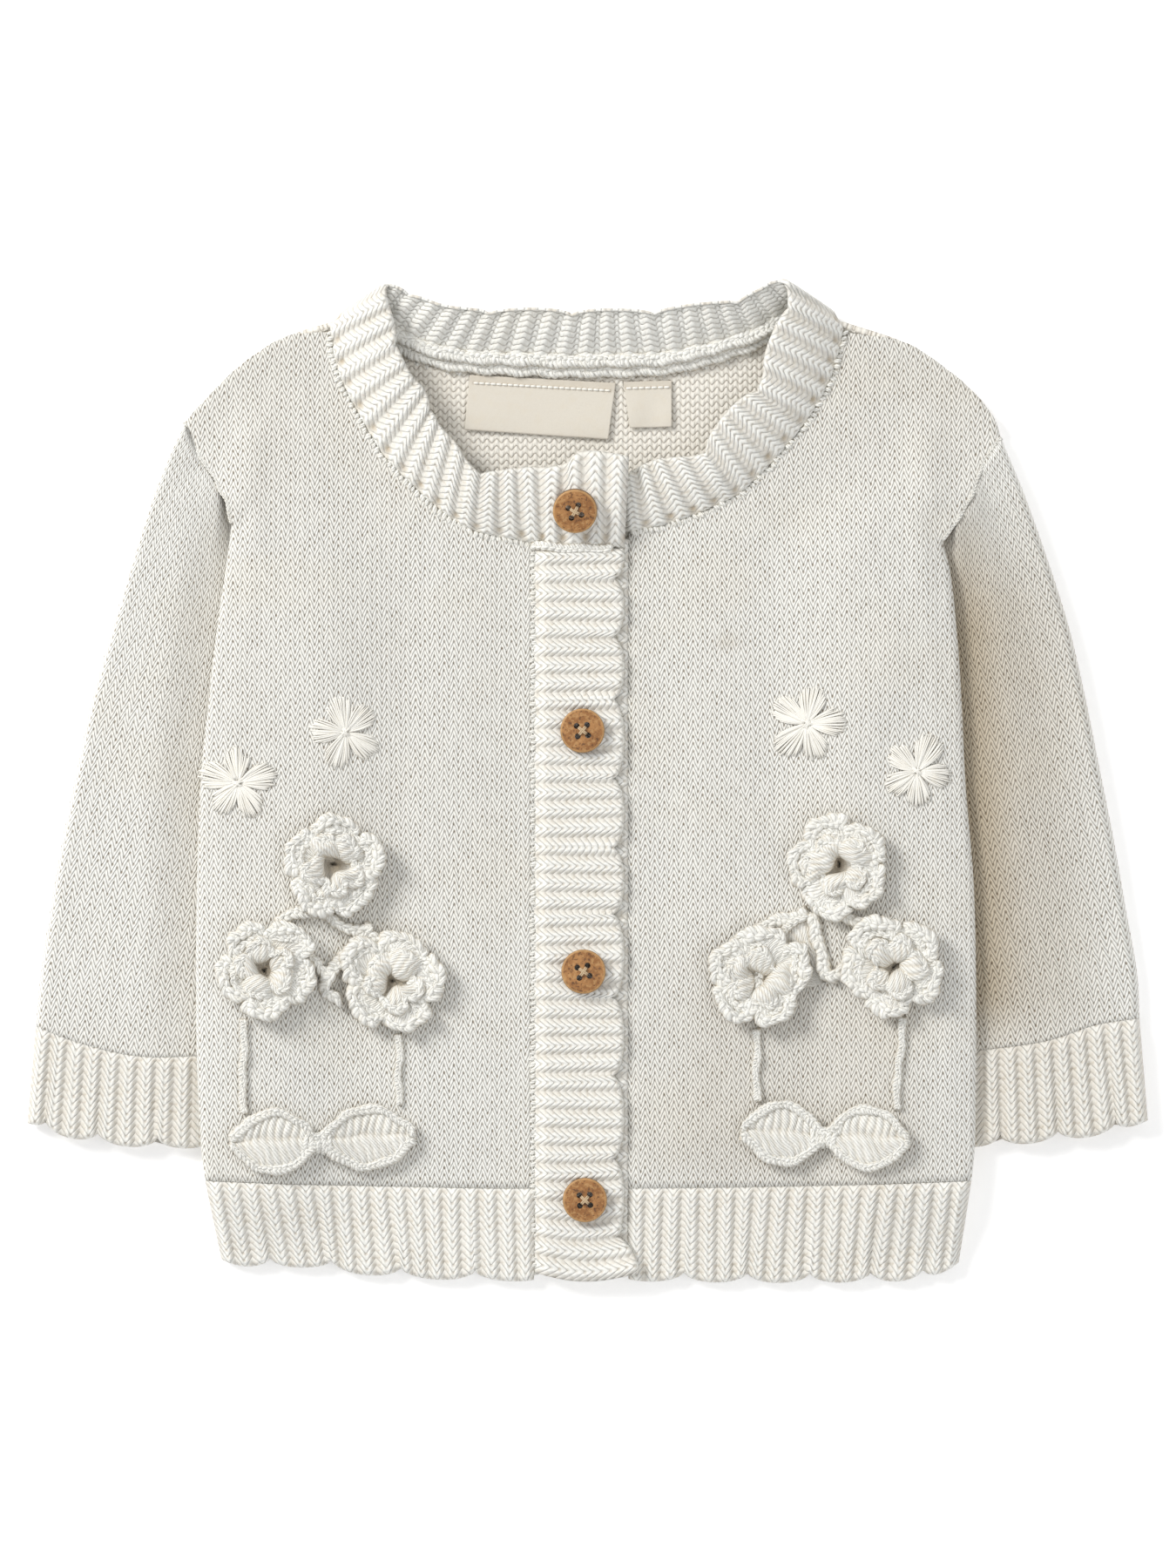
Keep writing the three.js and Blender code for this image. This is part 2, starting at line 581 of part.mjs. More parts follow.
function backPanel() {
  const [right, left] = SIDES;
  const edge = (side) => {
    const armhole = curveThrough(planPoints(ARMHOLE[side.name], side.sign));
    return joined(sideEdge(side), armhole, UNDERARM_SHARE);
  };
  const outsideRight = edge(right);
  const outsideLeft = edge(left);
  const neck = neckEdge(NECK_ROWS.back);
  const shoulderRight = curveThrough([...planPoints(SHOULDER.right.slice(0, -1), -1), neck(0)]);
  const shoulderLeft = curveThrough([neck(1), ...planPoints(SHOULDER.left.slice(0, -1), 1).reverse()]);
  const shoulderShare = 4 / 20;
  const neckShare = 16 / 20;
  const top = (t) => {
    if (t <= shoulderShare) return shoulderRight(t / shoulderShare);
    if (t >= neckShare) return shoulderLeft((t - neckShare) / (1 - neckShare));
    return neck((t - shoulderShare) / (neckShare - shoulderShare));
  };
  const plan = patch(hemSeam(outsideRight(0).x, outsideLeft(0).x), top, outsideRight, outsideLeft);
  const rounded = (u, v) => u === 0 || u === 1 || (v === 1 && (u <= shoulderShare || u >= neckShare));
  return wall({
    name: "back_panel",
    us: shares(20),
    vs: shares(20).filter((_, i) => i % 2 === 0 || i > 14),
    outer: (u, v) => {
      const p = plan(u, v);
      return p.setZ(backUnder(p.x, p.y) + CLOTH);
    },
    innerUs: shares(20).filter((_, i) => i % 2 === 0 || i < 4 || i > 16),
    innerVs: shares(20).filter((_, i) => i % 4 === 0 || i === 13 || i === 14 || i === 15),
    inner: (u, v) => {
      const p = plan(u, v);
      return p.setZ(backUnder(p.x, p.y) + (rounded(u, v) ? CLOTH - RIM : 0));
    },
  });
}

// Hem ribbing, its ribs running down and its edge scalloped
function hem(name, fromX, toX, fromEdgeX, toEdgeX, { ribbed, under, trim }) {
  const ribs = Math.round(Math.abs(toX - fromX) / RIB_PITCH);
  const columns = ribbed ? ribs * RIB_PROFILE.length : ribs;
  const top = hemSeam(fromX, toX);
  const plan = (u, v) => {
    const seam = top(u);
    const edgeX = lerp(fromEdgeX, toEdgeX, u);
    const edgeY = lookup(HEM_EDGE, "x", "y", edgeX) + HEM_NOTCH * scallop(edgeX, HEM_NOTCHES) + trim;
    return new THREE.Vector3(lerp(seam.x, edgeX, v), lerp(seam.y - SEAM, edgeY, v), 0);
  };
  const rows = [0, 0.08, 0.55, 1];
  return wall({
    name,
    us: shares(columns),
    vs: rows,
    outer: (u, v, i) => {
      const p = plan(u, v);
      const rib = ribbed && v > 0 && i > 0 && i < columns ? ribAt(i) * RIB_HEIGHT : 0;
      return p.setZ(under(p.x, p.y) + CLOTH + rib);
    },
    innerUs: shares(ribs),
    innerVs: [0, 0.5, 1],
    inner: (u, v) => {
      const p = plan(u, v);
      return p.setZ(under(p.x, p.y));
    },
  });
}

function hems() {
  const [right, left] = SIDES.map((side) => side.sign * bodyHalfWidth(side.name, HEM_SEAM_Y));
  const edgeRight = HEM_EDGE[0].x;
  const edgeLeft = HEM_EDGE[HEM_EDGE.length - 1].x;
  const bandRight = BAND_SEAM_X - SEAM;
  const bandLeft = BUTTON_BAND.to + SEAM;
  const front = { ribbed: true, under: frontUnder, trim: 0 };
  const back = { ribbed: false, under: backUnder, trim: 1.2 };
  return [
    hem("hem_front_right", right, bandRight, edgeRight, bandRight, front),
    hem("hem_front_left", bandLeft, left, bandLeft, edgeLeft, front),
    hem("hem_back", right, left, edgeRight, edgeLeft, back),
  ];
}

// Sleeves and cuffs: flattened tubes, flat below and lofted where they are clear of the body
const FOLD_RADIUS = 2.6;
const SLEEVE_LOFT = 3.1;
const SLEEVE_WIDTH = 58;
const TUBE_TOP = [0, 0.008, 0.025, 0.08, 0.18, 0.3, 0.42, 0.54, 0.66, 0.8, 0.97, 1];
const TUBE_UNDER = [0.97, 0.8, 0.5, 0.2, 0.03];
const TUBE_INNER = [[0, 0.2, 0.45, 0.75, 1], [0.75, 0.45, 0.2]];

function sleevePlan(side) {
  const sign = side.sign;
  const gap = new THREE.Vector3(sign * ARMHOLE_GAP, -ARMHOLE_GAP, 0);
  const armhole = planPoints(ARMHOLE[side.name], sign).reverse();
  const hidden = { x: lookup(SLEEVE_INNER, "y", side.name, 66), y: 66 };
  const seam = curveThrough([...armhole, ...planPoints([hidden], sign)].map((p) => p.add(gap)));
  const outerRows = [...SLEEVE_OUTER].reverse().map((row) => ({ x: row[side.name], y: row.y }));
  const cuffSeam = CUFF[side.name].seam;
  const outer = curveThrough([
    seam(0),
    ...planPoints(outerRows.slice(0, -1), sign),
    ...planPoints([cuffSeam[0]], sign),
  ]);
  const innerRows = SLEEVE_INNER.filter((row) => row.y > -70 && row.y < 66).reverse();
  const inner = curveThrough([
    seam(1),
    ...planPoints(innerRows.map((row) => ({ x: row[side.name], y: row.y })), sign),
    ...planPoints([cuffSeam[cuffSeam.length - 1]], sign),
  ]);
  return patch(seam, curveThrough(planPoints(cuffSeam, sign)), outer, inner);
}

// Height of the top of a sleeve above the surface
function sleeveTop(side, p, s, v) {
  const clear = Math.abs(p.x) - bodyHalfWidth(side.name, clamp(p.y, -146, 75));
  const alongLoft = lerp(1, 0.5, smoothstep(v, 0.5, 1)) * lerp(0.65, 1, smoothstep(v, 0, 0.2));
  const loft = SLEEVE_LOFT * alongLoft * smoothstep(clear, 0.5, 15);
  const shoulder = (1 - smoothstep(v, 0, 0.22)) * 1.2 * smoothstep(clear, 0.5, 5);
  return LAYERS + loft + shoulder * (1 - smoothstep(s, 0.1, 0.7));
}

// Outer and inner points of a flattened tube whose top height is given
function tubePoints(plan, width, topOf) {
  const outer = (station, v) => {
    const p = plan(station.s, v);
    const fromFold = Math.min(station.s, 1 - station.s) * width;
    const round = Math.sqrt(1 - (1 - clamp(fromFold / FOLD_RADIUS, 0, 1)) ** 2);
    const middle = LAYERS / 2;
    const top = topOf(p, station.s, v);
    return p.setZ(station.side > 0 ? lerp(middle, top, round) : lerp(middle, 0, round));
  };
  const inner = (station, v) => {
    const inset = CLOTH / width;
    const p = plan(lerp(inset, 1 - inset, station.s), v);
    if (station.s === 0 || station.s === 1) return p.setZ(LAYERS / 2);
    return p.setZ(station.side > 0 ? topOf(p, station.s, v) - CLOTH : CLOTH);
  };
  return { outer, inner };
}

function sleeve(side) {
  const plan = sleevePlan(side);
  const topOf = (p, s, v) => sleeveTop(side, p, s, v);
  const { outer, inner } = tubePoints(plan, SLEEVE_WIDTH, topOf);
  return tube({
    name: "sleeve_" + side.name,
    ring: ringOf(TUBE_TOP, TUBE_UNDER),
    innerRing: ringOf(...TUBE_INNER),
    vs: shares(14),
    innerVs: shares(7),
    outer,
    inner,
  });
}

function cuff(side) {
  const sign = side.sign;
  const { seam, edge, notches } = CUFF[side.name];
  const seamCurve = curveThrough(planPoints(seam, sign));
  const edgeCurve = curveThrough(planPoints(edge, sign));
  const width = seam[0].x - seam[seam.length - 1].x;
  const plan = (s, v) => {
    const top = seamCurve(s).add(new THREE.Vector3(0, -SEAM, 0));
    const bottom = edgeCurve(s);
    bottom.y += CUFF_NOTCH * scallop(s, [-0.16, ...notches, 1.12]);
    return top.lerp(bottom, v);
  };
  const columns = Math.round(width / RIB_PITCH) * RIB_PROFILE.length;
  const topShares = shares(columns);
  const bodyEdge = (p) => Math.abs(p.x) - bodyHalfWidth(side.name, clamp(p.y, -146, 75));
  const topOf = (p) => LAYERS + SLEEVE_LOFT * 0.5 * smoothstep(bodyEdge(p), 0.5, 15);
  const ribOf = (i, v) => (v > 0 && i > 0 && i < columns ? ribAt(i) * RIB_HEIGHT : 0);
  const clearRib = (p) => smoothstep(bodyEdge(p), 0.5, 3);
  const { outer, inner } = tubePoints(plan, width, topOf);
  return tube({
    name: "cuff_" + side.name,
    ring: ringOf(topShares, TUBE_UNDER),
    innerRing: ringOf(...TUBE_INNER),
    vs: [0, 0.08, 0.55, 1],
    innerVs: [0, 1],
    outer: (station, v, i) => {
      const p = outer(station, v);
      if (station.side < 0) return p;
      return p.setZ(p.z + ribOf(i, v) * clearRib(p));
    },
    inner,
  });
}

// The front bands: the button band lies below, and the ribbed buttonhole band over it has a scalloped edge
function bandUnder(x, y) {
  const over = smoothstep(x, BAND_SEAM_X, BUTTON_BAND.from - 0.6) * BAND_OVER;
  const curl = BAND.rise * smoothstep(x, 2, 15) * smoothstep(-y, 126, 142);
  return frontUnder(x, y) + over + curl;
}

function buttonholeBand() {
  const ribs = Math.round((BAND.top - BAND.bottom) / RIB_PITCH);
  const columns = ribs * RIB_PROFILE.length;
  const plan = (u, v) => {
    const dip = BAND.dip * (1 - v) ** 12 * Math.sin(Math.PI * u);
    const y = lerp(BAND.bottom, BAND.top - SEAM, v) - dip;
    const flare = BAND.flare * smoothstep(-y, -BAND.flareFrom, 141);
    const outer = BAND.to + flare - BAND_NOTCH * scallop(y, BAND_NOTCHES);
    return new THREE.Vector3(lerp(BAND_SEAM_X, outer, u), y, 0);
  };
  return wall({
    name: "buttonhole_band",
    us: [0, 0.17, 0.6, 1],
    vs: shares(columns),
    outer: (u, v, i, j) => {
      const p = plan(u, v);
      const rib = u > 0 && j > 0 && j < columns ? ribAt(j) * RIB_HEIGHT : 0;
      return p.setZ(bandUnder(p.x, p.y) + CLOTH + rib);
    },
    innerUs: [0, 0.17, 0.6, 1],
    innerVs: shares(ribs / 2),
    inner: (u, v) => {
      const p = plan(u, v);
      return p.setZ(bandUnder(p.x, p.y));
    },
  });
}

function buttonBand() {
  const plan = (u, v) => {
    const x = lerp(BUTTON_BAND.from, BUTTON_BAND.to, u);
    return new THREE.Vector3(x, lerp(BUTTON_BAND.bottom, BUTTON_BAND.top, v), 0);
  };
  const face = (lift) => (u, v) => {
    const p = plan(u, v);
    return p.setZ(frontUnder(p.x, p.y) + lift);
  };
  return wall({
    name: "button_band",
    us: shares(2),
    vs: shares(18),
    outer: face(CLOTH),
    innerUs: shares(2),
    innerVs: shares(9),
    inner: face(0),
  });
}

// The neckband: a ribbed strip whose free edge stands up round the neck
function neckbandFrame() {
  const seamHeight = (row) => {
    const onBack = backUnder(row.seamX, row.seamY);
    const onFront = frontUnder(row.seamX, row.seamY);
    return lerp(onBack, onFront, row.onFront) + CLOTH / 2 + row.lift;
  };
  const seamPoints = NECKBAND.map((row) => new THREE.Vector3(row.seamX, row.seamY, seamHeight(row)));
  const edgePoints = NECKBAND.map((row) => new THREE.Vector3(row.edgeX, row.edgeY, row.edgeZ));
  const seam = new THREE.CatmullRomCurve3(seamPoints, false, "catmullrom", 0.5);
  const edge = new THREE.CatmullRomCurve3(edgePoints, false, "catmullrom", 0.5);
  const samples = shares(600).map((t) => seam.getPoint(t).lerp(edge.getPoint(t), 0.5));
  const lengths = [0];
  samples.slice(1).forEach((p, i) => lengths.push(lengths[i] + p.distanceTo(samples[i])));
  const length = lengths[lengths.length - 1];
  const shareAt = (along) => {
    let i = 1;
    while (i < lengths.length - 1 && lengths[i] < along) i += 1;
    const f = (along - lengths[i - 1]) / (lengths[i] - lengths[i - 1]);
    return (i - 1 + clamp(f, 0, 1)) / (lengths.length - 1);
  };
  return { seam, edge, length, shareAt };
}

function neckband() {
  const { seam, edge, length, shareAt } = neckbandFrame();
  const ribs = Math.round(length / NECK_RIB_PITCH);
  const columns = ribs * RIB_PROFILE.length;
  const middle = (u, v) => {
    const along = u * length;
    const t = shareAt(along);
    const [a, b] = [seam.getPoint(t), edge.getPoint(t)];
    const f = along / NECK_SCALLOP + NECK_SCALLOP_PHASE;
    const notch = NECK_NOTCH * scallop(f - Math.floor(f), [0, 1]);
    const reach = 1 - notch / a.distanceTo(b);
    const p = a.clone().lerp(b, v * reach);
    p.z += NECK_ARCH * Math.sin(Math.PI * v);
    return p;
  };
  const normal = (u, v) => {
    const step = 0.004;
    const du = middle(Math.min(u + step, 1), v).sub(middle(Math.max(u - step, 0), v));
    const dv = middle(u, Math.min(v + 0.1, 1)).sub(middle(u, Math.max(v - 0.1, 0)));
    return du.cross(dv).normalize();
  };
  const facing = normal(0.1, 0.5).z > 0 ? 1 : -1;
  const clearOf = (distance) => smoothstep(distance, NECK_PLAIN.from, NECK_PLAIN.to);
  const insideRibs = (u) => clearOf(u * length) * clearOf((1 - u) * length);
  const outsideRibs = (u) => clearOf((1 - u) * length);
  const face = (side, ribbed) => (u, v, i) => {
    const inRib = i > 0 && i < columns && v > 0 ? ribAt(i) * RIB_HEIGHT : 0;
    const out = CLOTH / 2 + inRib * ribbed(u);
    const across = normal(u, v).multiplyScalar(facing);
    const upright = 1 - smoothstep(v, 0, 0.12);
    across.lerp(new THREE.Vector3(0, 0, 1), upright).normalize(); // the rim at the seam stands upright
    return middle(u, v).addScaledVector(across, side * out);
  };
  return wall({
    name: "neckband",
    us: shares(columns),
    vs: [0, 0.12, 0.55, 1],
    outer: face(1, outsideRibs),
    innerUs: shares(columns),
    innerVs: [0, 0.12, 1],
    inner: face(-1, insideRibs),
  });
}

// Buttons with four holes
function buttonSolid(name) {
  const { radius, rimRadius, thickness, bevel } = BUTTON;
  const { count, radius: holeRadius, spread } = BUTTON_HOLES;
  const profile = [
    new THREE.Vector2(0, 0),
    new THREE.Vector2(rimRadius, 0),
    new THREE.Vector2(radius, bevel),
    new THREE.Vector2(radius, thickness - bevel),
    new THREE.Vector2(rimRadius, thickness),
    new THREE.Vector2(0, thickness),
  ];
  const blank = new THREE.LatheGeometry(profile, 16).rotateX(Math.PI / 2);
  let body = manifoldOf(blank);
  for (let i = 0; i < count; i += 1) {
    const angle = (i + 0.5) * ((2 * Math.PI) / count);
    const hole = new THREE.CylinderGeometry(holeRadius, holeRadius, 3 * thickness, 6);
    hole.rotateX(Math.PI / 2).translate(spread * Math.cos(angle), spread * Math.sin(angle), thickness / 2);
    body = body.subtract(manifoldOf(hole));
  }
  const made = body.getMesh();
  const geometry = new THREE.BufferGeometry();
  geometry.setAttribute("position", new THREE.BufferAttribute(new Float32Array(made.vertProperties), 3));
  geometry.setIndex(new THREE.BufferAttribute(new Uint32Array(made.triVerts), 1));
  return meshOf(geometry, name, COCONUT);
}

function manifoldOf(geometry) {
  const bare = geometry.clone();
  bare.deleteAttribute("normal");
  bare.deleteAttribute("uv");
  const merged = mergeVertices(bare, 1e-4);
  const triVerts = new Uint32Array(merged.index.array);
  const vertProperties = new Float32Array(merged.attributes.position.array);
  const made = new wasm.Manifold(new wasm.Mesh({ numProp: 3, vertProperties, triVerts }));
  if (made.volume() > 0) return made;
  turnFaces(triVerts);
  return new wasm.Manifold(new wasm.Mesh({ numProp: 3, vertProperties, triVerts }));
}

function buttons() {
  return BUTTONS.map(({ x, y, turn }, i) => {
    const mesh = buttonSolid("button_" + (i + 1));
    const seat = RIB_HEIGHT + SEAM;
    if (i > 0) {
      mesh.position.set(x, y, bandUnder(x, y) + CLOTH + seat);
      mesh.rotation.z = turn;
      return mesh;
    }
    // The top button sits on the sloping end of the neckband
    const [a, b, c] = NECKBAND;
    const low = (row) => frontUnder(row.seamX, row.seamY) + CLOTH / 2 + row.lift;
    const share = (y - b.seamY) / (b.edgeY - b.seamY);
    const slopeY = (b.edgeZ - low(b)) / (b.edgeY - b.seamY);
    const slopeX = (share * (a.edgeZ - c.edgeZ)) / (a.edgeX - c.edgeX);
    const height = lerp(low(b), b.edgeZ, share) + NECK_ARCH * Math.sin(Math.PI * share);
    const up = new THREE.Vector3(-slopeX, -slopeY, 1).normalize();
    mesh.quaternion.setFromUnitVectors(new THREE.Vector3(0, 0, 1), up);
    mesh.rotateZ(turn);
    mesh.position.set(x, y, height).addScaledVector(up, CLOTH / 2 + seat + BUTTON_TILT_CLEARANCE);
    return mesh;
  });
}

// A round crochet rose that follows the front below it: five outer petals, a raised inner ring and a hollow
// heart
function rose({ name, x, y, radius, turn, reach, towards }) {
  const sectors = 20;
  const ringShares = [0.2, 0.4, 0.58, 0.74, 0.9, 1];
  const heart = 1.5;
  const underside = 0.15;
  const points = [];
  const faces = [];
  const outline = (angle) => {
    const petal = Math.abs(Math.cos((PETALS / 2) * (angle - turn)));
    const turned = Math.atan2(Math.sin(angle - towards), Math.cos(angle - towards));
    return radius * (0.84 + 0.16 * petal ** 0.7) + reach * Math.exp(-((turned / 0.45) ** 2));
  };
  const relief = (share, angle) => {
    const innerPetal = 0.75 + 0.25 * Math.abs(Math.cos((PETALS / 2) * (angle - turn) + 0.8));
    const innerRing = ROSE_HEIGHT * innerPetal * Math.exp(-(((share - 0.42) / 0.17) ** 2));
    const outerPetal = 0.55 + 0.45 * Math.abs(Math.cos((PETALS / 2) * (angle - turn)));
    const outerRing = ROSE_HEIGHT * 0.72 * outerPetal * Math.exp(-(((share - 0.84) / 0.16) ** 2));
    return Math.max(1.4, innerRing, outerRing);
  };
  const place = (share, angle, lift) => {
    const r = outline(angle) * share;
    const [px, py] = [x + r * Math.cos(angle), y + r * Math.sin(angle)];
    return new THREE.Vector3(px, py, frontTop(px, py) + SEAT + lift);
  };
  points.push(place(0, 0, heart));
  ringShares.forEach((share) => {
    for (let k = 0; k < sectors; k += 1) {
      const angle = (k / sectors) * 2 * Math.PI;
      points.push(place(share, angle, relief(share, angle)));
    }
  });
  const at = (ring, k) => 1 + ring * sectors + (k % sectors);
  for (let k = 0; k < sectors; k += 1) {
    faces.push(0, at(0, k), at(0, k + 1));
    for (let ring = 0; ring < ringShares.length - 1; ring += 1) {
      const [a, b] = [at(ring, k), at(ring, k + 1)];
      const [c, d] = [at(ring + 1, k), at(ring + 1, k + 1)];
      faces.push(a, c, d, a, d, b);
    }
  }
  const under = sectors / 2;
  const base = points.length;
  points.push(place(0, 0, underside));
  for (let k = 0; k < under; k += 1) points.push(place(0.97, (k / under) * 2 * Math.PI, underside));
  const below = (k) => base + 1 + (k % under);
  for (let k = 0; k < under; k += 1) faces.push(base, below(k + 1), below(k));
  const topRim = shares(sectors).map((share, k) => ({ index: at(ringShares.length - 1, k), at: share }));
  const lowRim = shares(under).map((share, k) => ({ index: below(k), at: share }));
  zip(topRim, lowRim, faces);
  return solid(points, faces, name, CROCHET);
}

// Two crochet leaves that meet at their points, domed, with a groove along each
function leafPair({ name, tipA, middle, tipB }) {
  const along = (u) => {
    const [from, to, f] = u < 0.5 ? [tipA, middle, u * 2] : [middle, tipB, u * 2 - 1];
    const belly = Math.sin(Math.PI * clamp(f, 0, 1)) ** LEAF.fullness;
    const half = Math.max(LEAF.waist, LEAF.halfWidth * belly);
    return { x: lerp(from[0], to[0], f), y: lerp(from[1], to[1], f), half };
  };
  const plan = (u, v) => {
    const { x, y, half } = along(u);
    return new THREE.Vector3(x, y + (2 * v - 1) * half, 0);
  };
  const relief = [0.45, 1, 0.8, 0.55, 0.8, 1, 0.45]; // across the pair, with the groove in the middle
  return wall({
    name,
    us: shares(20),
    vs: shares(6),
    outer: (u, v, i, j) => {
      const p = plan(u, v);
      return p.setZ(frontTop(p.x, p.y) + SEAT + LEAF.height * relief[j]);
    },
    innerUs: shares(10),
    innerVs: shares(2),
    inner: (u, v) => {
      const p = plan(u, v);
      return p.setZ(frontTop(p.x, p.y) + SEAT);
    },
    finish: CROCHET,
  });
}

function stem({ name, x, top, bottom, lean }) {
  const plan = (u, v) => {
    const middle = x + lean * (1 - v);
    return new THREE.Vector3(middle + (2 * u - 1) * STEM.halfWidth, lerp(bottom, top, v), 0);
  };
  const relief = [0.35, 1, 0.35];
  const onFront = (p, lift) => p.setZ(frontTop(p.x, p.y) + SEAT + lift);
  return wall({
    name,
    us: shares(2),
    vs: shares(6),
    outer: (u, v, i) => onFront(plan(u, v), STEM.height * relief[i]),
    innerUs: shares(1),
    innerVs: shares(3),
    inner: (u, v) => onFront(plan(u, v), 0),
    finish: CROCHET,
  });
}

function label({ name, corners }) {
  const [a, b, c, d] = corners.map(([x, y]) => new THREE.Vector3(x, y, 0));
  const plan = (u, v) => a.clone().lerp(b, u).lerp(d.clone().lerp(c, u), v);
  const face = (lift) => (u, v) => {
    const p = plan(u, v);
    return p.setZ(backUnder(p.x, p.y) + CLOTH + SEAM + lift);
  };
  return wall({
    name,
    us: shares(2),
    vs: shares(2),
    outer: face(LABEL_HEIGHT),
    innerUs: shares(1),
    innerVs: shares(1),
    inner: face(0),
    finish: TAPE,
  });
}

const cardigan = new THREE.Group();
cardigan.add(backPanel(), ...SIDES.map(frontPanel), ...hems());
cardigan.add(...SIDES.map(sleeve), ...SIDES.map(cuff));
cardigan.add(neckband(), buttonBand(), buttonholeBand(), ...buttons());
cardigan.add(...ROSES.map(rose), ...LEAF_PAIRS.map(leafPair), ...STEMS.map(stem), ...LABELS.map(label));

// The origin goes to the middle of the underside
const whole = new THREE.Box3().setFromObject(cardigan, true);
const middle = whole.getCenter(new THREE.Vector3());
cardigan.position.set(-middle.x, -middle.y, -whole.min.z);

export default cardigan;
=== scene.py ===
"""Blender scene of a baby's knitted cotton cardigan, buttoned and lying on its back.

The classes hold their sizes in millimetres, and a mesh is made in metres. +X is the wearer's left, +Y runs to
the neck and +Z is up. Each cloth piece is a thin shell on the form of its solid, with its own ribs and edges.
"""

import logging
import math
from collections.abc import Callable
from dataclasses import dataclass, field
from enum import Enum

import bpy
import numpy as np
from mathutils import Matrix, Vector


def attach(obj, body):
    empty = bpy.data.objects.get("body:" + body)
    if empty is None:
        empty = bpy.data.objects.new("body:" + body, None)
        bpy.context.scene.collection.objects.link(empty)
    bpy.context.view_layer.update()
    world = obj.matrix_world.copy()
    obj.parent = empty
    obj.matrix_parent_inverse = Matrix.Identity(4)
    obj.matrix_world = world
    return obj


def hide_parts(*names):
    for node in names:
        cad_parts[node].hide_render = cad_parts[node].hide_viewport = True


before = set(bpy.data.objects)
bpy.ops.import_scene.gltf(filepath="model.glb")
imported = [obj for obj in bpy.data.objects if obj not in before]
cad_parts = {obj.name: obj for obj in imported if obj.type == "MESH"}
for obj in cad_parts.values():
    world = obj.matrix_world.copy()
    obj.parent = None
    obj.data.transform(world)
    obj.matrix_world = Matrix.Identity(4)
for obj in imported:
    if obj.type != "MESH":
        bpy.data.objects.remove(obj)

Array = np.ndarray
Curve = Callable[[Array], Array]

LOG = logging.getLogger("cardigan")
MM = 0.001
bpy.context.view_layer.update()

# Cloth and seams, as in the solids
CLOTH = 1.8
SHELL = 1.3
SLACK = 0.4
LAYERS = 2 * CLOTH + SLACK
TUCK = LAYERS + 0.3
TUCK_RAMP = 30.0
TUCK_MARGIN = 7.0
LOFT = 1.1
SEAT = 0.45
WALE = 2.75
COURSE = 2.1
RIB_PITCH = 5.2
RIB_HEIGHT = 1.0
NECK_RIB_PITCH = 6.2
BAND_OVER = CLOTH + 0.3
HEM_SEAM_Y = -113.8
HEM_SEAM_DIP = 2.5
BAND_SEAM_X = -15.5
BUTTON_BAND_FROM, BUTTON_BAND_TO, BUTTON_BAND_TOP, BUTTON_BAND_BOTTOM = -11.0, 11.6, 70.4, -140.6
BAND_TO, BAND_TOP, BAND_BOTTOM, BAND_DIP = 10.6, 67.6, -140.3, 2.6
BAND_FLARE, BAND_FLARE_FROM, BAND_RISE = 4.2, 124.0, 2.1

# Columns: y, half width on the right, half width on the left
BODY_SIDE = np.array([
    (-146, 103.2, 105.2), (-137.5, 105.3, 106.8), (-120, 108.8, 109.2), (-105, 111, 111),
    (-75, 112.4, 111.5), (-30, 112.3, 110.8), (0, 111.3, 108.4), (25, 108.8, 107.2),
    (45, 106.5, 105.8), (62, 104, 103.8), (75, 102.2, 101),
])
SLEEVE_INNER = np.array([
    (-106, 98, 98), (-77, 98, 98), (-50, 94.5, 94), (-20, 89.5, 89), (20, 85, 85), (50, 84, 84),
    (66, 88, 87), (80, 96, 95), (100, 106, 105),
])
SLEEVE_OUTER = np.array([
    (-70, 158.8, 158.6), (-55, 157.5, 158), (-35, 154.5, 154.5), (-15, 151, 151), (5, 146.8, 147),
    (25, 142.5, 143), (45, 136.8, 138.3), (65, 131, 132), (85, 124.5, 124.8), (97, 119.6, 119.8),
])
# Columns: half width, y
ARMHOLE = {
    -1: np.array([(102.2, 75), (103.3, 80), (107.2, 87.8), (111.8, 94.8), (114.6, 100.6), (116, 104)]),
    1: np.array([(101.6, 70), (106.8, 77), (110.4, 83.5), (113, 91.3), (116.2, 96), (118.8, 99.4)]),
}
SHOULDER = {
    -1: np.array([(116, 104), (110.5, 110), (104, 116.8), (96.5, 123), (86, 129), (74.2, 132.9)]),
    1: np.array([(118.8, 99.4), (116.5, 105.5), (110.5, 113), (101.5, 120.5), (91, 127), (73.4, 132.9)]),
}
CUFF_SEAM = {
    -1: np.array([(158.8, -69.6), (146.3, -74.3), (128.8, -78.2), (98, -77.5)]),
    1: np.array([(158.6, -67.3), (145.8, -69.3), (131.8, -73.8), (98, -78)]),
}
CUFF_EDGE = {
    -1: np.array([(161.2, -97.6), (153.5, -100.6), (131.3, -104.3), (98, -104.6)]),
    1: np.array([(161, -96.6), (154, -99.6), (126.3, -103.4), (98, -105)]),
}
CUFF_NOTCHES = {-1: [-0.16, 0.09, 0.33, 0.6, 0.86, 1.12], 1: [-0.16, 0.16, 0.42, 0.68, 0.92, 1.12]}
CUFF_NOTCH = 3.4
# Columns: x, y
HEM_EDGE = np.array([
    (-105.4, -137.6), (-96, -138.9), (-78, -139.2), (-66, -141), (-40, -142.6), (-16, -143), (12, -143),
    (50, -143.4), (80, -143.2), (98, -142), (106.6, -138),
])
HEM_NOTCHES = [-108, -91.3, -73.8, -53.8, -32.5, -10, 8, 27.5, 45.8, 63.8, 81.3, 96.3, 110]
HEM_NOTCH = 3.2
BAND_NOTCHES = [-146, -130, -107.5, -83.8, -61.3, -37.3, -18.3, 1.5, 24.3, 42.3, 59, 72]
BAND_NOTCH = 3.6
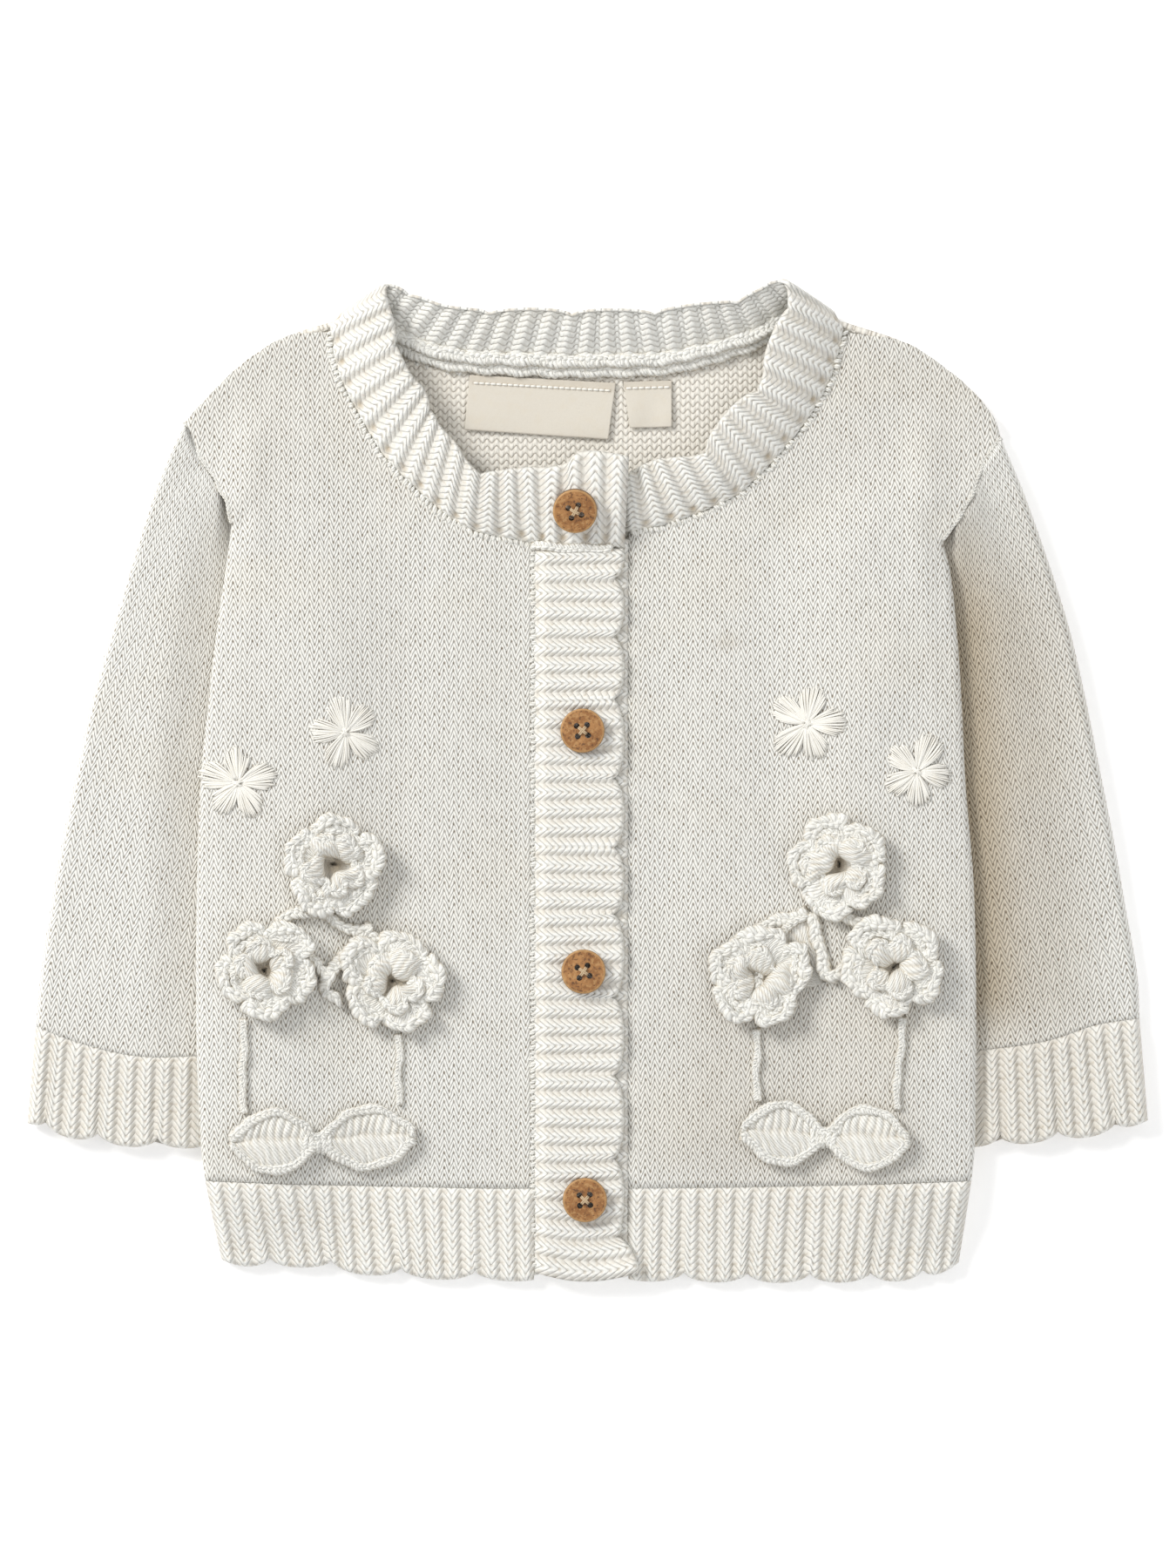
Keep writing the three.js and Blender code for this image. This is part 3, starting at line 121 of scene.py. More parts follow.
# Columns: x and y of the seam, x and y of the free edge, whether it is on a front, lift, height of the edge
NECKBAND = np.array([
    (10.5, 68, 11.8, 94, 1, 2.2, 12), (-0.8, 67.9, -1.8, 95.8, 1, 2.2, 11.3),
    (-9.8, 68.3, -9, 91.8, 1, 1.9, 10.4), (-15.8, 69.3, -16.8, 90.9, 1, 0.6, 10),
    (-33, 72.8, -31.5, 91, 1, 0, 10), (-43.3, 79.3, -38.5, 98.8, 1, 0, 10),
    (-49, 84.3, -42.3, 103.2, 1, 0, 10.2), (-58.3, 93.8, -45.8, 112.3, 1, 0, 10.6),
    (-64.3, 103.3, -50.3, 117, 1, 0, 11), (-69.3, 112.5, -52.8, 122.8, 1, 0, 11.5),
    (-72.6, 121, -54.5, 130.5, 1, 0, 12), (-73.9, 130, -57.2, 138.5, 0.9, 0, 12.6),
    (-72.4, 133.4, -57.4, 142.2, 0.5, 0.2, 12.8), (-69, 133.4, -54.6, 142.8, 0.1, 0.4, 12.8),
    (-61.5, 129, -49.5, 141, 0, 0.3, 12.4), (-50, 122.2, -40.5, 137.2, 0, 0.3, 12),
    (-36.3, 118.8, -28, 136.6, 0, 0.3, 12), (-12, 117.4, -8, 136.4, 0, 0.3, 12),
    (13.8, 117.5, 12, 136.3, 0, 0.3, 12), (30, 119.5, 26, 137.2, 0, 0.3, 12),
    (46.8, 125, 40.5, 139.2, 0, 0.3, 12.2), (59, 131, 49, 142, 0, 0.3, 12.6),
    (67, 134, 52.8, 144, 0.1, 0.4, 13), (71.5, 133.6, 55.6, 143.4, 0.5, 0.2, 13),
    (73.1, 130, 56.4, 139.4, 0.9, 0, 12.6), (71.4, 121.5, 53, 130.5, 1, 0, 12),
    (68.8, 114.5, 50.6, 123.4, 1, 0, 11.4), (64.8, 107.3, 49, 115.8, 1, 0, 11),
    (57.3, 97.3, 42.6, 110, 1, 0, 10.6), (45.8, 85.3, 34.6, 100.4, 1, 0, 10),
    (39.5, 81.3, 31, 95.2, 1, 0, 9.6), (27.3, 76.1, 19.8, 93.2, 1, 0, 8.6),
    (13, 72.8, 10.5, 90.9, 1, 0, 7.6), (-8.8, 71.2, -9.8, 90, 1, 0, 7.2),
])
NECK_ROWS = {-1: (3, 12), 0: (12, 23), 1: (23, 32)}
NECK_NOTCH, NECK_SCALLOP, NECK_SCALLOP_PHASE, NECK_ARCH = 2.2, 26.0, 0.35, 1.2
# Columns: from x, from y, to x, to y, spread, lift
FOLDS = [
    (-96, 112, -99, 70, 6, 1.8), (96, 112, 98.5, 62, 6, 2), (-88, 60, -70, 20, 9, 0.8),
    (-40, 62, -46, -20, 12, 0.7), (92, 58, 78, 8, 9, 0.8), (44, 60, 40, -30, 12, 0.7),
    (-84, -20, -104, -76, 11, 0.6), (88, -24, 103, -84, 11, 0.6),
]
FOLD_RADIUS = 2.6
SLEEVE_LOFT = 3.1
SIDE_NAMES = {-1: "right", 1: "left"}


def smoothstep(value: Array, low: float, high: float) -> Array:
    """Ease from 0 at low to 1 at high."""
    t = np.clip((np.asarray(value, dtype=float) - low) / (high - low), 0.0, 1.0)
    return t * t * (3 - 2 * t)


def lerp(first: Array, second: Array, share: Array) -> Array:
    """Blend from first to second."""
    return first + (second - first) * share


def fract(value: Array) -> Array:
    """The part of a number after its whole part."""
    return value - np.floor(value)


def lookup(table: Array, column: int, at: Array) -> Array:
    """Read a column of a table against its first one, with a smooth curve through the rows.

    Args:
        table: rows in rising order of their first column.
        column: the column that is read.
        at: values of the first column.

    Returns:
        The column's value at each place.
    """
    xs, ys = table[:, 0], table[:, column]
    at = np.asarray(at, dtype=float)
    last = len(xs) - 1
    i = np.clip(np.searchsorted(xs, at) - 1, 0, last - 1)
    before, after = np.maximum(i - 1, 0), np.minimum(i + 2, last)
    span = xs[i + 1] - xs[i]
    t = np.clip((at - xs[i]) / span, 0, 1)
    slope_a = (ys[i + 1] - ys[before]) / (xs[i + 1] - xs[before]) * span
    slope_b = (ys[after] - ys[i]) / (xs[after] - xs[i]) * span
    t2, t3 = t * t, t * t * t
    low = (2 * t3 - 3 * t2 + 1) * ys[i] + (t3 - 2 * t2 + t) * slope_a
    return low + (3 * t2 - 2 * t3) * ys[i + 1] + (t3 - t2) * slope_b


def spline(points: Array, centripetal: bool = True, steps: int = 24) -> Array:
    """Sample a Catmull-Rom curve through points.

    Args:
        points: rows of coordinates.
        centripetal: whether the spacing follows the distances, or is even.
        steps: samples in each span.

    Returns:
        The samples, the last point included.
    """
    points = np.asarray(points, dtype=float)
    padded = np.vstack([2 * points[0] - points[1], points, 2 * points[-1] - points[-2]])
    t = np.linspace(0, 1, steps, endpoint=False)[:, None]
    out = []
    for p0, p1, p2, p3 in zip(padded[:-3], padded[1:-2], padded[2:-1], padded[3:]):
        if centripetal:
            pairs = ((p0, p1), (p1, p2), (p2, p3))
            d0, d1, d2 = (max(math.sqrt(np.linalg.norm(b - a)), 1e-4) for a, b in pairs)
            m1 = ((p1 - p0) / d0 - (p2 - p0) / (d0 + d1) + (p2 - p1) / d1) * d1
            m2 = ((p2 - p1) / d1 - (p3 - p1) / (d1 + d2) + (p3 - p2) / d2) * d1
        else:
            m1, m2 = (p2 - p0) / 2, (p3 - p1) / 2
        out.append(p1 + m1 * t + (3 * (p2 - p1) - 2 * m1 - m2) * t**2 + (2 * (p1 - p2) + m1 + m2) * t**3)
    return np.vstack([*out, points[-1:]])


def along(samples: Array) -> Curve:
    """Turn samples into a curve that is read by its share of the length."""
    lengths = np.concatenate([[0], np.cumsum(np.linalg.norm(np.diff(samples, axis=0), axis=1))])
    shares = lengths / lengths[-1]

    def read(t: Array) -> Array:
        """The points at shares of the length."""
        return np.stack([np.interp(t, shares, samples[:, k]) for k in range(samples.shape[1])], axis=-1)

    return read


def plan_points(rows: Array, sign: int) -> Array:
    """Plan points of one side from rows of half widths."""
    return np.stack([sign * rows[:, 0], rows[:, 1]], axis=-1)


def joined(first: Curve, second: Curve, share: float) -> Curve:
    """Two edges as one, the first of them up to a share of the whole."""
    def read(t: Array) -> Array:
        """The points at shares of both edges together."""
        head = first(np.clip(t / share, 0, 1))
        tail = second(np.clip((t - share) / (1 - share), 0, 1))
        return np.where((t <= share)[:, None], head, tail)

    return read


def patch(bottom: Curve, top: Curve, left: Curve, right: Curve, us: Array, vs: Array) -> Array:
    """Fill the space between four edges.

    Args:
        bottom: the edge at v = 0, along u.
        top: the edge at v = 1, along u.
        left: the edge at u = 0, along v.
        right: the edge at u = 1, along v.
        us: shares along u.
        vs: shares along v.

    Returns:
        Plan points in rows along v and columns along u.
    """
    u, v = us[None, :, None], vs[:, None, None]
    b, t, l, r = bottom(us)[None], top(us)[None], left(vs)[:, None], right(vs)[:, None]
    corners = lerp(lerp(b[:, :1], b[:, -1:], u), lerp(t[:, :1], t[:, -1:], u), v)
    return lerp(b, t, v) + lerp(l, r, u) - corners


def by_side(table: Array, x: Array, y: Array) -> Array:
    """Read a table of half widths at a height, on the side that x is on."""
    return np.where(np.asarray(x) < 0, lookup(table, 1, y), lookup(table, 2, y))


def half_width(x: Array, y: Array) -> Array:
    """Half width of the body at a height, on the side that x is on."""
    return by_side(BODY_SIDE, x, np.clip(y, -146, 75))


def back_under(x: Array, y: Array) -> Array:
    """Height of the back's underside: over the tucked sleeves at the sides, flat between them."""
    inner = by_side(SLEEVE_INNER, x, np.clip(y, -106, 100)) - TUCK_MARGIN
    t = np.clip((np.abs(x) - inner + TUCK_RAMP) / TUCK_RAMP, 0, 1)
    across = t * t * (3 - 2 * t)
    return TUCK * across * (1 - smoothstep(y, 70, 106)) * smoothstep(y, -139, -115)


def fold_lift(x: Array, y: Array) -> Array:
    """Height that the soft folds add to the fronts."""
    total = np.zeros(np.broadcast(x, y).shape)
    for from_x, from_y, to_x, to_y, spread, lift in FOLDS:
        dx, dy = to_x - from_x, to_y - from_y
        share = ((x - from_x) * dx + (y - from_y) * dy) / (dx * dx + dy * dy)
        near = np.clip(share, 0, 1)
        off = np.hypot(x - from_x - near * dx, y - from_y - near * dy)
        taper = np.sin(np.pi * np.clip(0.12 + 0.76 * share, 0, 1))
        total = total + lift * taper * np.exp(-((off / spread) ** 2))
    return total


def front_under(x: Array, y: Array) -> Array:
    """Height of the fronts' underside: lofted between the side folds and the bands."""
    inside = half_width(x, y) - np.abs(x)
    from_side = np.maximum(smoothstep(inside, 0, 9), smoothstep(y, 70, 84))
    from_band = smoothstep(np.abs(x), 17, 34)
    from_hem = smoothstep(y, -116, -96) * (1 - smoothstep(y, 96, 118))
    return back_under(x, y) + CLOTH + SLACK + (LOFT + fold_lift(x, y)) * from_side * from_band * from_hem


def front_top(x: Array, y: Array) -> Array:
    """Height of the fronts' upper face."""
    return front_under(x, y) + CLOTH


def band_under(x: Array, y: Array) -> Array:
    """Height of the buttonhole band's underside, over the button band."""
    over = smoothstep(x, BAND_SEAM_X, BUTTON_BAND_FROM - 0.6) * BAND_OVER
    curl = BAND_RISE * smoothstep(x, 2, 15) * smoothstep(-y, 126, 142)
    return front_under(x, y) + over + curl


def scallop(at: Array, notches: list[float]) -> Array:
    """Depth of a scalloped edge between two notches, as a share of the notch."""
    places = np.array(sorted(notches), dtype=float)
    i = np.clip(np.searchsorted(places, at) - 1, 0, len(places) - 2)
    f = np.clip((at - places[i]) / (places[i + 1] - places[i]), 0, 1)
    return 1 - np.sqrt(np.maximum(0, 1 - (2 * f - 1) ** 2))


def edge_drop(distance: Array, depth: float, radius: float = FOLD_RADIUS) -> Array:
    """How far a rounded edge lies below the face beside it, by the distance from the edge."""
    t = 1 - np.clip(distance / radius, 0, 1)
    return depth * (1 - np.sqrt(np.maximum(0, 1 - t * t)))


def rib_relief(ribs: Array, courses: Array, height: float = RIB_HEIGHT) -> tuple[Array, Array]:
    """Relief of knitted ribs: ridges of vee-shaped stitches with purl bumps in the gutters.

    Args:
        ribs: place across the ribs, one to a rib.
        courses: place along the ribs, one to a row of stitches.
        height: how high the ridges stand.

    Returns:
        The relief in millimetres, and how hollow the place is from 0 to 1, which sets its painted shade.
    """
    f = fract(ribs)
    ridge = smoothstep(f, 0.1, 0.34) * (1 - smoothstep(f, 0.66, 0.9))
    from_middle = np.clip(np.abs(f - 0.5) / 0.34, 0, 1.3)
    leg_phase = fract(-courses - 1.5 * from_middle)
    leg = np.sqrt(np.maximum(0, 1 - (2 * leg_phase - 1) ** 2))
    purl_phase = fract(courses + 0.5)
    purl = np.sqrt(np.maximum(0, 1 - (2 * purl_phase - 1) ** 2))
    gutter = 1 - ridge
    relief = height * ridge + 0.34 * leg * (0.35 + 0.65 * ridge) + 0.3 * purl * gutter
    relief = relief - 0.12 * np.exp(-((from_middle / 0.12) ** 2)) * ridge
    # Painted shade in the gutters, on the ridges' flanks and between the legs.
    flank = gutter * ridge * 4
    hollow = gutter * (0.35 + 0.5 * (1 - purl)) + flank * (1 - leg) * 0.55 + 0.3 * (1 - leg) ** 2 * ridge
    return relief, np.clip(hollow, 0, 1)


def edge_spaced(count: int, low: bool = True, high: bool = True) -> Array:
    """Shares from 0 to 1 that lie closer together at the chosen ends."""
    t = np.linspace(0, 1, count + 1)
    if low and high:
        return 0.5 - 0.5 * np.cos(np.pi * t)
    if low:
        return 1 - np.cos(0.5 * np.pi * t)
    return np.sin(0.5 * np.pi * t) if high else t


def deselect() -> None:
    """Leave nothing selected."""
    bpy.ops.object.select_all(action="DESELECT")


def activate(piece: bpy.types.Object) -> None:
    """Make one piece the only selected and active one."""
    deselect()
    piece.select_set(True)
    bpy.context.view_layer.objects.active = piece


def apply_modifier(piece: bpy.types.Object, kind: str, **settings: object) -> None:
    """Add a modifier with settings, and apply it.

    Args:
        piece: the object.
        kind: the modifier's type.
        settings: its properties.
    """
    activate(piece)
    modifier = piece.modifiers.new(kind.lower(), kind)
    for name, value in settings.items():
        setattr(modifier, name, value)
    bpy.ops.object.modifier_apply(modifier=modifier.name)


def set_attribute(mesh: bpy.types.Mesh, name: str, values: Array) -> None:
    """Store one number for each point of a mesh."""
    layer = mesh.attributes.new(name, "FLOAT", "POINT")
    layer.data.foreach_set("value", np.asarray(values, dtype=np.float32).ravel())


def dress(piece: bpy.types.Object, *materials: bpy.types.Material) -> None:
    """Give a piece its materials and smooth shading."""
    piece.data.materials.clear()
    for material in materials:
        piece.data.materials.append(material)
    piece.data.polygons.foreach_set("use_smooth", [True] * len(piece.data.polygons))
    piece.data.update()


def grid_sheet(
    name: str, points: Array, stitches: Array, hollow: Array | None = None, dim: Array | None = None
) -> bpy.types.Object:
    """Make one layer of cloth from a grid of points.

    Args:
        name: the piece's name.
        points: rows and columns of points, in millimetres.
        stitches: the place of each point counted in wales and courses, which becomes the UV map.
        hollow: how deep in the knit each point lies, from 0 to 1, which sets its painted shade.
        dim: how much painted beige shade lies on each point, from 0 to 1, with the small flat spot on the
            left front.

    Returns:
        The new object.
    """
    rows, columns = points.shape[:2]
    deselect()
    bpy.ops.mesh.primitive_grid_add(x_subdivisions=columns - 1, y_subdivisions=rows - 1, size=2.0)
    piece = bpy.context.object
    piece.name = piece.data.name = name
    mesh = piece.data
    flat = np.empty(len(mesh.vertices) * 3, dtype=np.float32)
    mesh.vertices.foreach_get("co", flat)
    flat = flat.reshape(-1, 3)
    i = np.rint((flat[:, 0] + 1) / 2 * (columns - 1)).astype(int)
    j = np.rint((flat[:, 1] + 1) / 2 * (rows - 1)).astype(int)
    mesh.vertices.foreach_set("co", (points[j, i] * MM).astype(np.float32).ravel())
    corners = np.empty(len(mesh.loops), dtype=np.int32)
    mesh.loops.foreach_get("vertex_index", corners)
    mesh.uv_layers[0].data.foreach_set("uv", stitches[j, i][corners].astype(np.float32).ravel())
    mesh.uv_layers[0].name = "stitches"
    for label, values in (("hollow", hollow), ("dim", dim)):
        if values is not None:
            set_attribute(mesh, label, values[j, i])
    mesh.update()
    return piece


def merge_doubles(piece: bpy.types.Object, distance: float = 1e-6) -> None:
    """Join the points of a piece that lie on each other."""
    activate(piece)
    bpy.ops.object.mode_set(mode="EDIT")
    bpy.ops.mesh.select_all(action="SELECT")
    bpy.ops.mesh.remove_doubles(threshold=distance)
    bpy.ops.object.mode_set(mode="OBJECT")


def sheet_area(points: Array) -> float:
    """Area of a grid of points, in square metres."""
    a = points[1:, 1:] - points[:-1, :-1]
    b = points[1:, :-1] - points[:-1, 1:]
    return float(np.linalg.norm(np.cross(a, b), axis=-1).sum() / 2) * MM * MM


def mean_size(points: Array) -> tuple[float, float]:
    """Mean width along the columns and mean length along the rows of a grid, in metres."""
    width = np.linalg.norm(np.diff(points, axis=1), axis=-1).sum(axis=1).mean()
    length = np.linalg.norm(np.diff(points, axis=0), axis=-1).sum(axis=0).mean()
    return float(width) * MM, float(length) * MM


def settle(piece: bpy.types.Object, slot: str, *nodes: str) -> None:
    """Tie a piece to the frame's body, and hide the solids that it stands for.

    Args:
        piece: the object.
        slot: a material slot's name, which is not used.
        nodes: the solids that it replaces.
    """
    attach(piece, "root")
    if nodes:
        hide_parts(*nodes)
    LOG.info("%s: %d faces", piece.name, len(piece.data.polygons))


class Laying(Enum):
    """How a sheet of cloth is held."""

    LAID = "laid"
    FOLDED = "folded"


def on_front(plan: Array, lift: Array | float) -> Array:
    """Points at a height over the fronts' upper face."""
    plan = np.asarray(plan, dtype=float)
    return np.concatenate([plan, (front_top(plan[..., 0], plan[..., 1]) + SEAT + lift)[..., None]], axis=-1)


def directions(path: Array) -> tuple[Array, Array, Array]:
    """The direction along a path, and those to its side and over it."""
    ahead = np.gradient(path, axis=0)
    ahead /= np.linalg.norm(ahead, axis=1)[:, None] + 1e-9
    side = np.cross(ahead, (0.0, 0.0, 1.0))
    side /= np.linalg.norm(side, axis=1)[:, None] + 1e-9
    return ahead, side, np.cross(side, ahead)


def evenly(path: Array, step: float) -> Array:
    """A path sampled again at even steps."""
    length = float(np.linalg.norm(np.diff(path, axis=0), axis=1).sum())
    return along(path)(np.linspace(0, 1, max(4, round(length / step) + 1)))


class YarnWork:
    """Gathers strands, braids and pads of yarn into one closed mesh."""

    def __init__(self, name: str, seed: int = 0) -> None:
        """Start with nothing.

        Args:
            name: the piece's name.
            seed: where its own chance starts.
        """
        self.name = name
        self.chance = np.random.default_rng(seed)
        self.points: list[Array] = []
        self.quads: list[Array] = []
        self.places: list[Array] = []
        self.hollows: list[Array] = []
        self.total = 0

    def skin(self, rings: Array, places: Array, hollow: Array) -> None:
        """Add a surface whose rows each close on themselves.

        Args:
            rings: rows of points.
            places: the place on the yarn of each point, with one column more to close the ring.
            hollow: how deep in the work each point lies, which sets its painted shade.
        """
        rows, columns = rings.shape[:2]
        index = np.arange(rows * columns).reshape(rows, columns) + self.total
        after = np.roll(index, -1, axis=1)
        self.quads.append(np.stack([index[:-1], index[1:], after[1:], after[:-1]], axis=-1).reshape(-1, 4))
        first, second = places[:, :-1], places[:, 1:]
        corners = np.stack([first[:-1], first[1:], second[1:], second[:-1]], axis=-2)
        self.places.append(corners.reshape(-1, 2))
        self.points.append(rings.reshape(-1, 3))
        self.hollows.append(np.clip(hollow, 0, 1).ravel())
        self.total += rows * columns

    def strand(self, path: Array, radius: Array | float, sides: int = 6, depth: Array | float = 0.0) -> None:
        """Add a round strand along a path, closed at its ends.

        Args:
            path: points in millimetres.
            radius: the strand's radius, for all or for each point.
            sides: corners of its section.
            depth: how much painted shade the strand's upper side takes.
        """
        _, side, over = directions(path)
        radii = np.broadcast_to(np.asarray(radius, dtype=float), len(path))[:, None, None]
        angle = np.arange(sides) * 2 * np.pi / sides
        across, up = np.cos(angle)[None, :, None], np.sin(angle)[None, :, None]
        rings = path[:, None] + radii * (across * side[:, None] + up * over[:, None])
        ends = [np.repeat(tip, sides, axis=1) for tip in (path[:1, None], path[-1:, None])]
        rings = np.concatenate([ends[0], rings, ends[1]])
        steps = np.linalg.norm(np.diff(path, axis=0), axis=1)
        lengths = np.concatenate([[0, 0], np.cumsum(steps), [steps.sum()]])
        places = np.stack(np.meshgrid(np.arange(sides + 1) / sides, lengths), axis=-1)
        upper = np.broadcast_to(np.asarray(depth, dtype=float), len(path))
        upper = np.concatenate([upper[:1], upper, upper[-1:]])[:, None]
        # Painted shade: the strand's underside is darker than its top.
        self.skin(rings, places, upper + 0.42 - 0.5 * np.sin(angle)[None])

    def braid(
        self, path: Array, width: float, pitch: float = 6.6, step: float = 0.6, depth: float = 0.0
    ) -> None:
        """Add a braid of three strands, as on a crocheted edge.

        Args:
            path: points in millimetres.
            width: the braid's width.
            pitch: the length of a full turn of a strand.
            step: the distance between samples.
            depth: how much painted shade its upper side takes.
        """
        path = evenly(path, step)
        _, side, over = directions(path)
        lengths = np.concatenate([[0], np.cumsum(np.linalg.norm(np.diff(path, axis=0), axis=1))])
        radius = 0.25 * width
        start = self.chance.uniform(0, 1)
        for k in range(3):
            turn = 2 * np.pi * (lengths / pitch + k / 3 + start)
            swing = (width / 2 - radius) * np.sin(turn)
            rise = 0.62 * radius * np.sin(2 * turn)
            strand = path + side * swing[:, None] + over * rise[:, None]
            # Painted shade where a strand dips under the others.
            low = 0.22 * (1 - np.sin(2 * turn)) + depth
            plump = radius * (1 + 0.08 * np.sin(lengths * 1.7 + k))
            self.strand(strand, plump, depth=low - 0.1)

    def bumps(self, path: Array, spacing: float, length: float, radius: float, depth: float = 0.0) -> None:
        """Add a row of short plump stitches across a path.

        Args:
            path: points in millimetres.
            spacing: the distance between stitches.
            length: how long a stitch is.
            radius: how thick it is at its middle.
            depth: how much painted shade its upper side takes.
        """
        path = evenly(path, spacing)
        _, side, _ = directions(path)
        t = np.linspace(-1, 1, 9)
        for point, aside in zip(path, side):
            reach = length / 2 * self.chance.uniform(0.8, 1.15)
            lean = np.array([-aside[1], aside[0], 0.0]) * self.chance.uniform(0.3, 0.9)
            middle = point + aside * length * self.chance.uniform(-0.1, 0.1)
            line = middle + (aside + lean) * (reach * t)[:, None]
            line[:, 2] -= radius * (0.3 + 0.5 * t**2)
            self.strand(line, radius * np.sqrt(1.02 - t**2) * self.chance.uniform(0.85, 1.1), 8, depth)

    def rumple(self, size: float) -> None:
        """Move all that was added by slow waves, as in hand-made work."""
        away = self.chance.uniform(0, 40)
        for i, points in enumerate(self.points):
            x, y = points[:, 0] + away, points[:, 1] - away
            waves = (
                np.sin(y / 1.5 + 1.7 * np.sin(x / 2.3)),
                np.sin(x / 1.6 + 1.7 * np.sin(y / 2.1)),
                np.sin(x / 1.3 + y / 1.7),
            )
            self.points[i] = points + size * np.stack(waves, axis=-1)

    def pad(self, top: Array, under: Array, places: Array, hollow: Array) -> None:
        """Add a pad between an upper and a lower grid that share their edges.

        Args:
            top: rows and columns of upper points.
            under: the lower points.
            places: the place on the yarn of the upper points.
            hollow: how deep each upper point lies, which sets its painted shade.
        """
        rings = np.concatenate([top, under[:, ::-1]], axis=1)
        round_places = np.concatenate([places, places[:, ::-1], places[:, :1]], axis=1)
        # Painted shade: the pad's underside is fully dark.
        self.skin(rings, round_places, np.concatenate([hollow, np.ones_like(hollow)], axis=1))

    def build(self, material: bpy.types.Material) -> bpy.types.Object:
        """Make the mesh, close it and dress it.

        Args:
            material: the yarn.

        Returns:
            The new object.
        """
        deselect()
        mesh = bpy.data.meshes.new(self.name)
        points, quads = np.concatenate(self.points) * MM, np.concatenate(self.quads)
        mesh.from_pydata(points.tolist(), [], quads.tolist())
        uv = mesh.uv_layers.new(name="stitches")
        uv.data.foreach_set("uv", np.concatenate(self.places).astype(np.float32).ravel())
        set_attribute(mesh, "hollow", np.concatenate(self.hollows))
        piece = bpy.data.objects.new(self.name, mesh)
        bpy.context.scene.collection.objects.link(piece)
        merge_doubles(piece)
        activate(piece)
        bpy.ops.object.mode_set(mode="EDIT")
        bpy.ops.mesh.select_all(action="SELECT")
        bpy.ops.mesh.normals_make_consistent(inside=False)
        bpy.ops.object.mode_set(mode="OBJECT")
        dress(piece, material)
        return piece


class Graph:
    """Adds shader nodes to a tree by plain calls."""

    def __init__(self, tree: bpy.types.NodeTree) -> None:
        """Keep the tree."""
        self.tree = tree

    def add(self, kind: str, inputs: dict | None = None, **settings: object) -> bpy.types.Node:
        """Add a node.

        Args:
            kind: the node's type.
            inputs: a value or a socket for each named or numbered input.
            settings: the node's properties.

        Returns:
            The new node.
        """
        node = self.tree.nodes.new(kind)
        for name, value in settings.items():
            setattr(node, name, value)
        for key, value in (inputs or {}).items():
            socket = node.inputs[key]
            if isinstance(value, bpy.types.NodeSocket):
                self.tree.links.new(value, socket)
            else:
                socket.default_value = value
        return node

    def math(
        self, operation: str, first: object, second: object = 0.0, third: object = 0.0
    ) -> bpy.types.NodeSocket:
        """A Math node's result."""
        inputs = {0: first, 1: second, 2: third}
        return self.add("ShaderNodeMath", inputs, operation=operation).outputs[0]

    def ease(
        self, value: object, low: float, high: float, to_low: float = 0.0, to_high: float = 1.0
    ) -> bpy.types.NodeSocket:
        """A smooth step of a value from one range to another."""
        inputs = {"Value": value, "From Min": low, "From Max": high, "To Min": to_low, "To Max": to_high}
        return self.add("ShaderNodeMapRange", inputs, interpolation_type="SMOOTHSTEP").outputs[0]

    def mix(self, factor: object, first: object, second: object) -> bpy.types.NodeSocket:
        """A blend of two colours."""
        node = self.add("ShaderNodeMix", {0: factor}, data_type="RGBA")
        for index, value in ((6, first), (7, second)):
            if isinstance(value, bpy.types.NodeSocket):
                self.tree.links.new(value, node.inputs[index])
            else:
                node.inputs[index].default_value = (*value, 1.0)
        return node.outputs[2]

    def strand(self, phase: object) -> bpy.types.NodeSocket:
        """The round height of a strand across its width, from a phase of 0 to 1."""
        centred = self.math("MULTIPLY_ADD", phase, 2.0, -1.0)
        squared = self.math("MULTIPLY", centred, centred)
        return self.math("SQRT", self.math("MAXIMUM", self.math("SUBTRACT", 1.0, squared), 0.0))


SOCKET_KINDS = {"Vector": "NodeSocketVector", "Color": "NodeSocketColor", "Float": "NodeSocketFloat"}


def node_group(
    name: str, inputs: dict[str, str], outputs: dict[str, str]
) -> tuple[Graph, bpy.types.Node, bpy.types.Node]:
    """Make a shader node group with named inputs and outputs.

    Args:
        name: the group's name.
        inputs: the kind of each input.
        outputs: the kind of each output.

    Returns:
        The graph, the input node and the output node.
    """
    tree = bpy.data.node_groups.new(name, "ShaderNodeTree")
    for label, kind in inputs.items():
        tree.interface.new_socket(label, in_out="INPUT", socket_type=SOCKET_KINDS[kind])
    for label, kind in outputs.items():
        tree.interface.new_socket(label, in_out="OUTPUT", socket_type=SOCKET_KINDS[kind])
    return Graph(tree), tree.nodes.new("NodeGroupInput"), tree.nodes.new("NodeGroupOutput")


